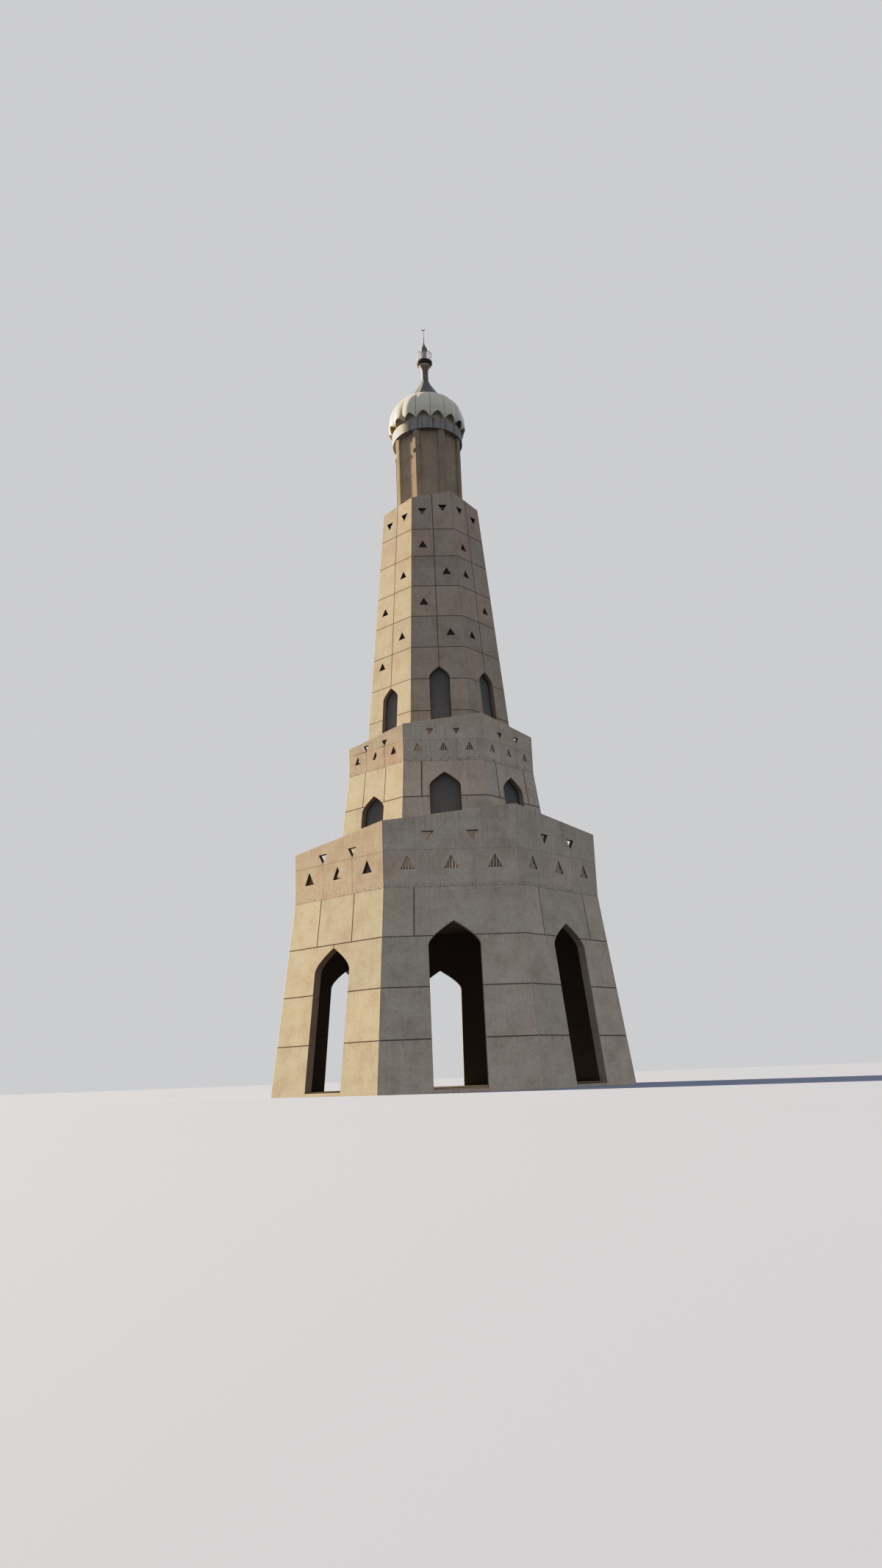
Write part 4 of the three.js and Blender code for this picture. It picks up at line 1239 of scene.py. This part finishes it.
    # Cement skin with pores, drawn coarser than the real ones so that they show
    pores = node(tree, "TexNoise", "Fac", {"Vector": place, "Scale": 250.0, "Detail": 4.0, "Roughness": 0.65})
    bump = node(tree, "Bump", "Normal", {"Height": pores, "Strength": 0.25, "Distance": 0.001})
    for relief, strength, distance in ((boards, 0.3, 0.001), (clouds, 0.4, 0.004)):
        inputs = {"Height": relief, "Strength": strength, "Distance": distance, "Normal": bump}
        bump = node(tree, "Bump", "Normal", inputs)
    rough = node(tree, "MapRange", "Result", {"Value": blotches, "To Min": 0.8, "To Max": 0.97})
    return wired(material, Base_Color=colour, Roughness=rough, Normal=bump)


def painted_render():
    """Cream masonry paint rolled over smooth render. The eye sees a soft, even sheen, dark seams between the
    gores, thin runs of dirt down from the crown and grey petal edges. The side turned to the key lamp is
    painted yellower: painted sunlight."""
    material, tree, place = new_material("painted_render_rolled", IOR=1.48)
    value = {key: node(tree, "Attribute", "Fac", attribute_name=key) for key in ("tone", "grime", "below")}
    clouds = node(tree, "TexNoise", "Fac", {"Vector": place, "Scale": 6.0, "Detail": 5.0, "Roughness": 0.55})
    paint = [(0.3, "#DAD6BC"), (0.52, "#E6E2CA"), (0.75, "#EDE9D3")]
    colour = node(tree, "ValToRGB", "Color", {"Fac": clouds}, paint)
    # Dirt runs about 0.2 m wide on the real dome
    face = node(tree, "UVMap", "UV", uv_map="face")
    down = node(tree, "Mapping", "Vector", {"Vector": face, "Scale": (55.0, 4.0, 1.0)})
    run = node(tree, "TexNoise", "Fac", {"Vector": down, "Scale": 1.0, "Detail": 4.0, "Roughness": 0.6})
    run = node(tree, "ValToRGB", "Color", {"Fac": run}, [(0.5, 0.0), (0.78, 0.4)])
    dirt = node(tree, "Math", "Value", {0: value["grime"], 1: 0.62}, operation="MULTIPLY")
    # The dome's skin carries the height over the petals' edge as "below"
    edge = {"Value": value["below"], "From Min": 0.001, "From Max": 0.008, "To Min": 0.55, "To Max": 0.0}
    edge = node(tree, "MapRange", "Result", edge)
    # Yellower on the side turned to the key lamp, painted sunlight, with the runs, the seams and the edges
    # over that
    for share, code in ((value["tone"], "#D6BD97"), (run, "#A6A293"), (dirt, "#57544A"), (edge, "#8C8776")):
        inputs = {SHARE: share, UNDER: colour, OVER: linear(code)}
        colour = node(tree, "Mix", RESULT, inputs, data_type="RGBA")
    # Roller texture, about 30 mm on the real dome
    roller = node(tree, "TexNoise", "Fac", {"Vector": place, "Scale": 320.0, "Detail": 3.0})
    bump = node(tree, "Bump", "Normal", {"Height": roller, "Strength": 0.25, "Distance": 0.0008})
    bump = {"Height": clouds, "Strength": 0.5, "Distance": 0.004, "Normal": bump}
    bump = node(tree, "Bump", "Normal", bump)
    rough = node(tree, "MapRange", "Result", {"Value": clouds, "To Min": 0.42, "To Max": 0.62})
    return wired(material, Base_Color=colour, Roughness=rough, Normal=bump)


def painted_sheet(name, light, middle, dark, roughness):
    """Sheet metal, brush-painted and weathered. The eye sees uneven, chalky paint and grimy seams."""
    material, tree, place = new_material(name, Specular_IOR_Level=0.3)
    # Brush marks and patches of about 0.4 m on the real finial
    patches = node(tree, "TexNoise", "Fac", {"Vector": place, "Scale": 26.0, "Detail": 5.0, "Roughness": 0.6})
    colour = node(tree, "ValToRGB", "Color", {"Fac": patches}, clouded(dark, middle, light))
    dirt = node(tree, "Attribute", "Fac", attribute_name="grime")
    dirt = node(tree, "Math", "Value", {0: dirt, 1: 0.5}, operation="MULTIPLY")
    inputs = {SHARE: dirt, UNDER: colour, OVER: linear("#3A3834")}
    colour = node(tree, "Mix", RESULT, inputs, data_type="RGBA")
    grain = node(tree, "TexNoise", "Fac", {"Vector": place, "Scale": 400.0, "Detail": 3.0})
    bump = node(tree, "Bump", "Normal", {"Height": grain, "Strength": 0.2, "Distance": 0.0005})
    rough = {"Value": patches, "To Min": roughness, "To Max": roughness + 0.2}
    rough = node(tree, "MapRange", "Result", rough)
    return wired(material, Base_Color=colour, Roughness=rough, Normal=bump)


def tinted_glass():
    """Dark tinted float glass, paler in cloudy patches towards its sill: a painted sky reflection. The eye
    sees a dark grey pane, paler lower down.
    """
    material, tree, place = new_material("tinted_float_glass_painted_reflection", IOR=1.5, Specular_IOR_Level=0.2)
    dust = node(tree, "TexNoise", "Fac", {"Vector": place, "Scale": 22.0, "Detail": 5.0, "Roughness": 0.6})
    height = node(tree, "SeparateXYZ", "Z", {"Vector": place})
    share = 0.0
    # From each storey's sill to near the tip of its arches
    for sill, head in ((LOW_TERRACE, 3.42), (MIDDLE_TERRACE, 4.8)):
        inside = node(tree, "Math", "Value", {0: height, 1: sill - 0.01}, operation="GREATER_THAN")
        low = {"Value": height, "From Min": sill, "From Max": head, "To Min": 1.0, "To Max": 0.0}
        low = node(tree, "MapRange", "Result", low)
        low = node(tree, "Math", "Value", {0: low, 1: inside}, operation="MULTIPLY")
        share = node(tree, "Math", "Value", {0: share, 1: low}, operation="MAXIMUM")
    # Paler cloudy patches towards the sill: painted reflection of the sky
    painted_reflection = node(tree, "Math", "Value", {0: dust, 1: share}, operation="MULTIPLY")
    colour = node(tree, "ValToRGB", "Color", {"Fac": painted_reflection}, [(0.0, "#5E5B57"), (0.55, "#8C857E")])
    waves = node(tree, "TexNoise", "Fac", {"Vector": place, "Scale": 3.0, "Detail": 1.0})
    bump = node(tree, "Bump", "Normal", {"Height": waves, "Strength": 0.15, "Distance": 0.004})
    rough = node(tree, "MapRange", "Result", {"Value": dust, "To Min": 0.5, "To Max": 0.75})
    return wired(material, Base_Color=colour, Roughness=rough, Normal=bump)


def lantern_glass():
    """Clear bent glass with a film of dust. The eye sees a pale, see-through pane with cloudy patches."""
    material, tree, place = new_material("clear_bent_glass", IOR=1.5, Roughness=0.12)
    dust = node(tree, "TexNoise", "Fac", {"Vector": place, "Scale": 30.0, "Detail": 4.0})
    colour = node(tree, "ValToRGB", "Color", {"Fac": dust}, [(0.3, "#DADDDC"), (0.7, "#EDEEEC")])
    film = {"Value": dust, "From Min": 0.3, "From Max": 0.7, "To Min": 0.14, "To Max": 0.32}
    return wired(material, Base_Color=colour, Alpha=node(tree, "MapRange", "Result", film))


def trowelled_cement(name, tones, grain):
    """Cement laid by hand and floated or trowelled smooth. The eye sees clouds of darker and lighter tones
    and fine grit."""
    material, tree, place = new_material(name, IOR=1.5, Specular_IOR_Level=0.3)
    clouds = node(tree, "TexNoise", "Fac", {"Vector": place, "Scale": grain, "Detail": 6.0, "Roughness": 0.6})
    colour = node(tree, "ValToRGB", "Color", {"Fac": clouds}, tones)
    # Grit of a few millimetres, drawn coarser than the real one so that it shows
    grit = node(tree, "TexNoise", "Fac", {"Vector": place, "Scale": 180.0, "Detail": 3.0})
    specks = node(tree, "ValToRGB", "Color", {"Fac": grit}, [(0.35, "#C8C2B8"), (0.5, "#FFFFFF")])
    inputs = {SHARE: 0.35, UNDER: colour, OVER: specks}
    colour = node(tree, "Mix", RESULT, inputs, data_type="RGBA", blend_type="MULTIPLY")
    bump = node(tree, "Bump", "Normal", {"Height": grit, "Strength": 0.3, "Distance": 0.001})
    rough = node(tree, "MapRange", "Result", {"Value": clouds, "To Min": 0.7, "To Max": 0.92})
    return wired(material, Base_Color=colour, Roughness=rough, Normal=bump)


# Stage


def dress(node_name, material):
    """Gives a CAD node a finish of its own and keeps its mesh."""
    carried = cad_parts[node_name]
    carried.data.materials.clear()
    carried.data.materials.append(material)


def studio_floor():
    """A plain pale disc under the tower, far wider than the view."""
    radius, drop = 90.0, 0.0005
    edge = polar(radius, full_turn(96), -drop)
    made = skin(np.array([np.broadcast_to(np.array([0.0, 0.0, -drop]), edge.shape), edge]))
    material, tree, place = new_material("plain_floor", Roughness=0.95)
    haze = node(tree, "TexNoise", "Fac", {"Vector": place, "Scale": 0.3})
    colour = node(tree, "ValToRGB", "Color", {"Fac": haze}, [(0.3, "#8B93A8"), (0.7, "#8E96AB")])
    wired(material, Base_Color=colour)
    mesh = bpy.data.meshes.new("studio_floor")
    mesh.from_pydata(made["points"].tolist(), [], made["corners"].reshape(-1, 3)[:, ::-1].tolist())
    mesh.materials.append(material)
    floor = bpy.data.objects.new("studio_floor", mesh)
    bpy.context.scene.collection.objects.link(floor)
    floor.visible_diffuse = False


def studio_sky():
    """A plain pale backdrop, and a soft even fill that lights the object less than the backdrop shows."""
    world = bpy.data.worlds.new("studio_sky")
    world.use_nodes = True
    tree = world.node_tree
    backdrop = node(tree, "Background", "Background", {"Color": linear("#D3D4D8"), "Strength": 1.0})
    fill = node(tree, "Background", "Background", {"Color": (0.083, 0.088, 0.105, 1.0), "Strength": 1.0})
    seen = node(tree, "LightPath", "Is Camera Ray")
    shown = node(tree, "MixShader", "Shader", {0: seen, 1: fill, 2: backdrop})
    tree.links.new(shown, tree.nodes["World Output"].inputs["Surface"])
    bpy.context.scene.world = world


def studio_lamp(name, bearing, elevation, strength, colour, softness):
    """A distant soft lamp that shines from a bearing, in degrees anticlockwise from +X."""
    lamp = bpy.data.lights.new(name, "SUN")
    lamp.energy = strength * math.pi
    lamp.color = colour
    lamp.angle = math.radians(softness)
    holder = bpy.data.objects.new(name, lamp)
    holder.rotation_euler = (math.radians(90 - elevation), 0.0, math.radians(bearing + 90))
    bpy.context.scene.collection.objects.link(holder)


def camera():
    """The photograph's camera, from its pitch, yaw and roll, swung round the tower's axis."""
    pitch, yaw, roll = CAMERA_PITCH, CAMERA_YAW, CAMERA_ROLL
    look = np.array([math.sin(yaw) * math.cos(pitch), math.cos(yaw) * math.cos(pitch), math.sin(pitch)])
    right = np.array([math.cos(yaw), -math.sin(yaw), 0.0])
    up = np.cross(right, look)
    across = math.cos(roll) * right + math.sin(roll) * up
    upward = math.cos(roll) * up - math.sin(roll) * right
    matrix = np.eye(4)
    matrix[:3, :] = np.stack([across, upward, -look, np.array([0.0, -CAMERA_DISTANCE, CAMERA_HEIGHT])], 1)
    lens = bpy.data.cameras.new("photograph_camera")
    lens.sensor_fit = "AUTO"
    lens.sensor_width = IMAGE_LONG_SIDE
    lens.lens = LENS
    lens.clip_end = 500.0
    holder = bpy.data.objects.new("photograph_camera", lens)
    bpy.context.scene.collection.objects.link(holder)
    holder.matrix_world = Matrix.Rotation(CAMERA_SWING, 4, "Z") @ Matrix(matrix.tolist())
    bpy.context.scene.camera = holder


def photograph_tones():
    """The tones of a photograph: even up to a middle grey, with the highlights held back above it."""
    settings = bpy.context.scene.view_settings
    settings.view_transform = "Standard"
    settings.use_curve_mapping = True
    curves = settings.curve_mapping
    brightest, shown_brightest = TONE_CURVE[-1]
    curves.white_level = (brightest,) * 3
    combined = curves.curves[3]
    combined.points[0].location = (0.0, 0.0)
    combined.points[1].location = (1.0, shown_brightest)
    for light, shown in TONE_CURVE[:-1]:
        combined.points.new(light / brightest, shown)
    curves.update()


sand_tones = five_tones("#B5AA99", "#BDB09C", "#C2B19C", "#C6B5A0", "#C2AA98")
# Paler tones for the faces out of the key lamp: painted bounce light
painted_bounce_tones = five_tones("#CEC5B3", "#D5CAB7", "#DACDB8", "#DECFBA", "#D8C6B3")
drum_tones = [(0.0, "#A0927D"), (1.0, "#C0AE95")]
# The beam's palest tone is painted sunlight, on its side turned to the key lamp
beam_tones = [(0.0, "#A29D96"), (0.3, "#ACA79F"), (1.0, "#E9E2D2")]
screed_tones = clouded("#464039", "#544E46", "#625C53")
cream_tones = clouded("#DDD3B6", "#E8DFC6", "#EEE7D2")
wall_concrete = cast_concrete("precast_concrete_panel", sand_tones, (0.24, 0.12), 0.3)
concrete_painted_bounce = cast_concrete("precast_concrete_panel_painted_bounce_light", painted_bounce_tones, (0.24, 0.12), 0.3)
drum_concrete = cast_concrete("drum_concrete_board_cast", drum_tones, (0.3, 0.125), 0.35)
beam_concrete = cast_concrete("beam_concrete_stained", beam_tones, (0.36, 0.2), 0.95, stain="#4A4745")
petal_render_painted_bounce = trowelled_cement("cream_render_trowelled_painted_bounce_light", cream_tones, 9.0)
cream_render = painted_render()
grey_sheet = painted_sheet("grey_painted_sheet", "#7B7C7A", "#6B6B6A", "#565655", 0.45)
tan_sheet = painted_sheet("collar_sheet_weathered", "#8E8272", "#7B6E5F", "#66594B", 0.5)
pale_sheet = painted_sheet("white_painted_ring", "#DAD6CE", "#CDC8BE", "#ADA494", 0.45)
dark_sheet = painted_sheet("dark_painted_sheet", "#2C2826", "#23201F", "#1B1918", 0.65)
brown_sheet = painted_sheet("brown_painted_steel_box", "#62554A", "#54483D", "#463C33", 0.6)
steel_frame = painted_sheet("bronze_painted_frame", "#37342F", "#2E2C29", "#232220", 0.35)
dark_pane = tinted_glass()
window_shade_sheet = painted_sheet("window_sheet_painted_shade", "#3A3735", "#32302E", "#292726", 0.65)
clear_pane = lantern_glass()
screed = trowelled_cement("cement_screed_floated", screed_tones, 4.0)

# The faces out of the key lamp get the paler panels, painted bounce light in their shade
walls(GROUND_STOREY, storey_cells, concrete_painted_bounce, wall_concrete)
walls(MIDDLE_STOREY, storey_cells, concrete_painted_bounce, wall_concrete)
walls(SHAFT, shaft_cells, wall_concrete)
parapet_bars("ground_parapet_bars", GROUND_STOREY, concrete_painted_bounce)
parapet_bars("middle_parapet_bars", MIDDLE_STOREY, concrete_painted_bounce)
arch_frames("middle_arch_frames", MIDDLE_STOREY, steel_frame)
arch_frames("shaft_arch_frames", SHAFT, steel_frame)
# Dark sheets that paint the shade inside the shaft's upright windows
window_shade_sheets("shaft_window_shade_sheets", window_shade_sheet)
drum(drum_concrete)
drum_fittings(brown_sheet)
ring_beam(beam_concrete)
ribbed_dome(cream_render)
flared_skirt(grey_sheet)
neck_and_collar(grey_sheet, tan_sheet, pale_sheet)
balcony(dark_sheet)
lantern(clear_pane, grey_sheet, dark_sheet)
cap_and_mast(grey_sheet)
emblem(grey_sheet)
for slab in ("ground_floor", "low_terrace", "middle_terrace", "roof_terrace"):
    dress(slab, screed)
# The upstand's render is paler than the real one: painted bounce light in the deep shade behind the petals
dress("dome_upstand", petal_render_painted_bounce)
for panes in ("middle_glazing", "shaft_glazing"):
    dress(panes, dark_pane)

studio_floor()
studio_sky()
studio_lamp("key_lamp", 145.5, 28.0, 5.0, (1.0, 0.805, 0.56), 4.0)
studio_lamp("rear_lamp", 48.0, 30.0, 0.12, (0.85, 0.95, 1.1), 30.0)
studio_lamp("overhead_lamp", 270.0, 60.0, 0.305, (0.92, 0.97, 1.13), 170.0)
camera()
photograph_tones()
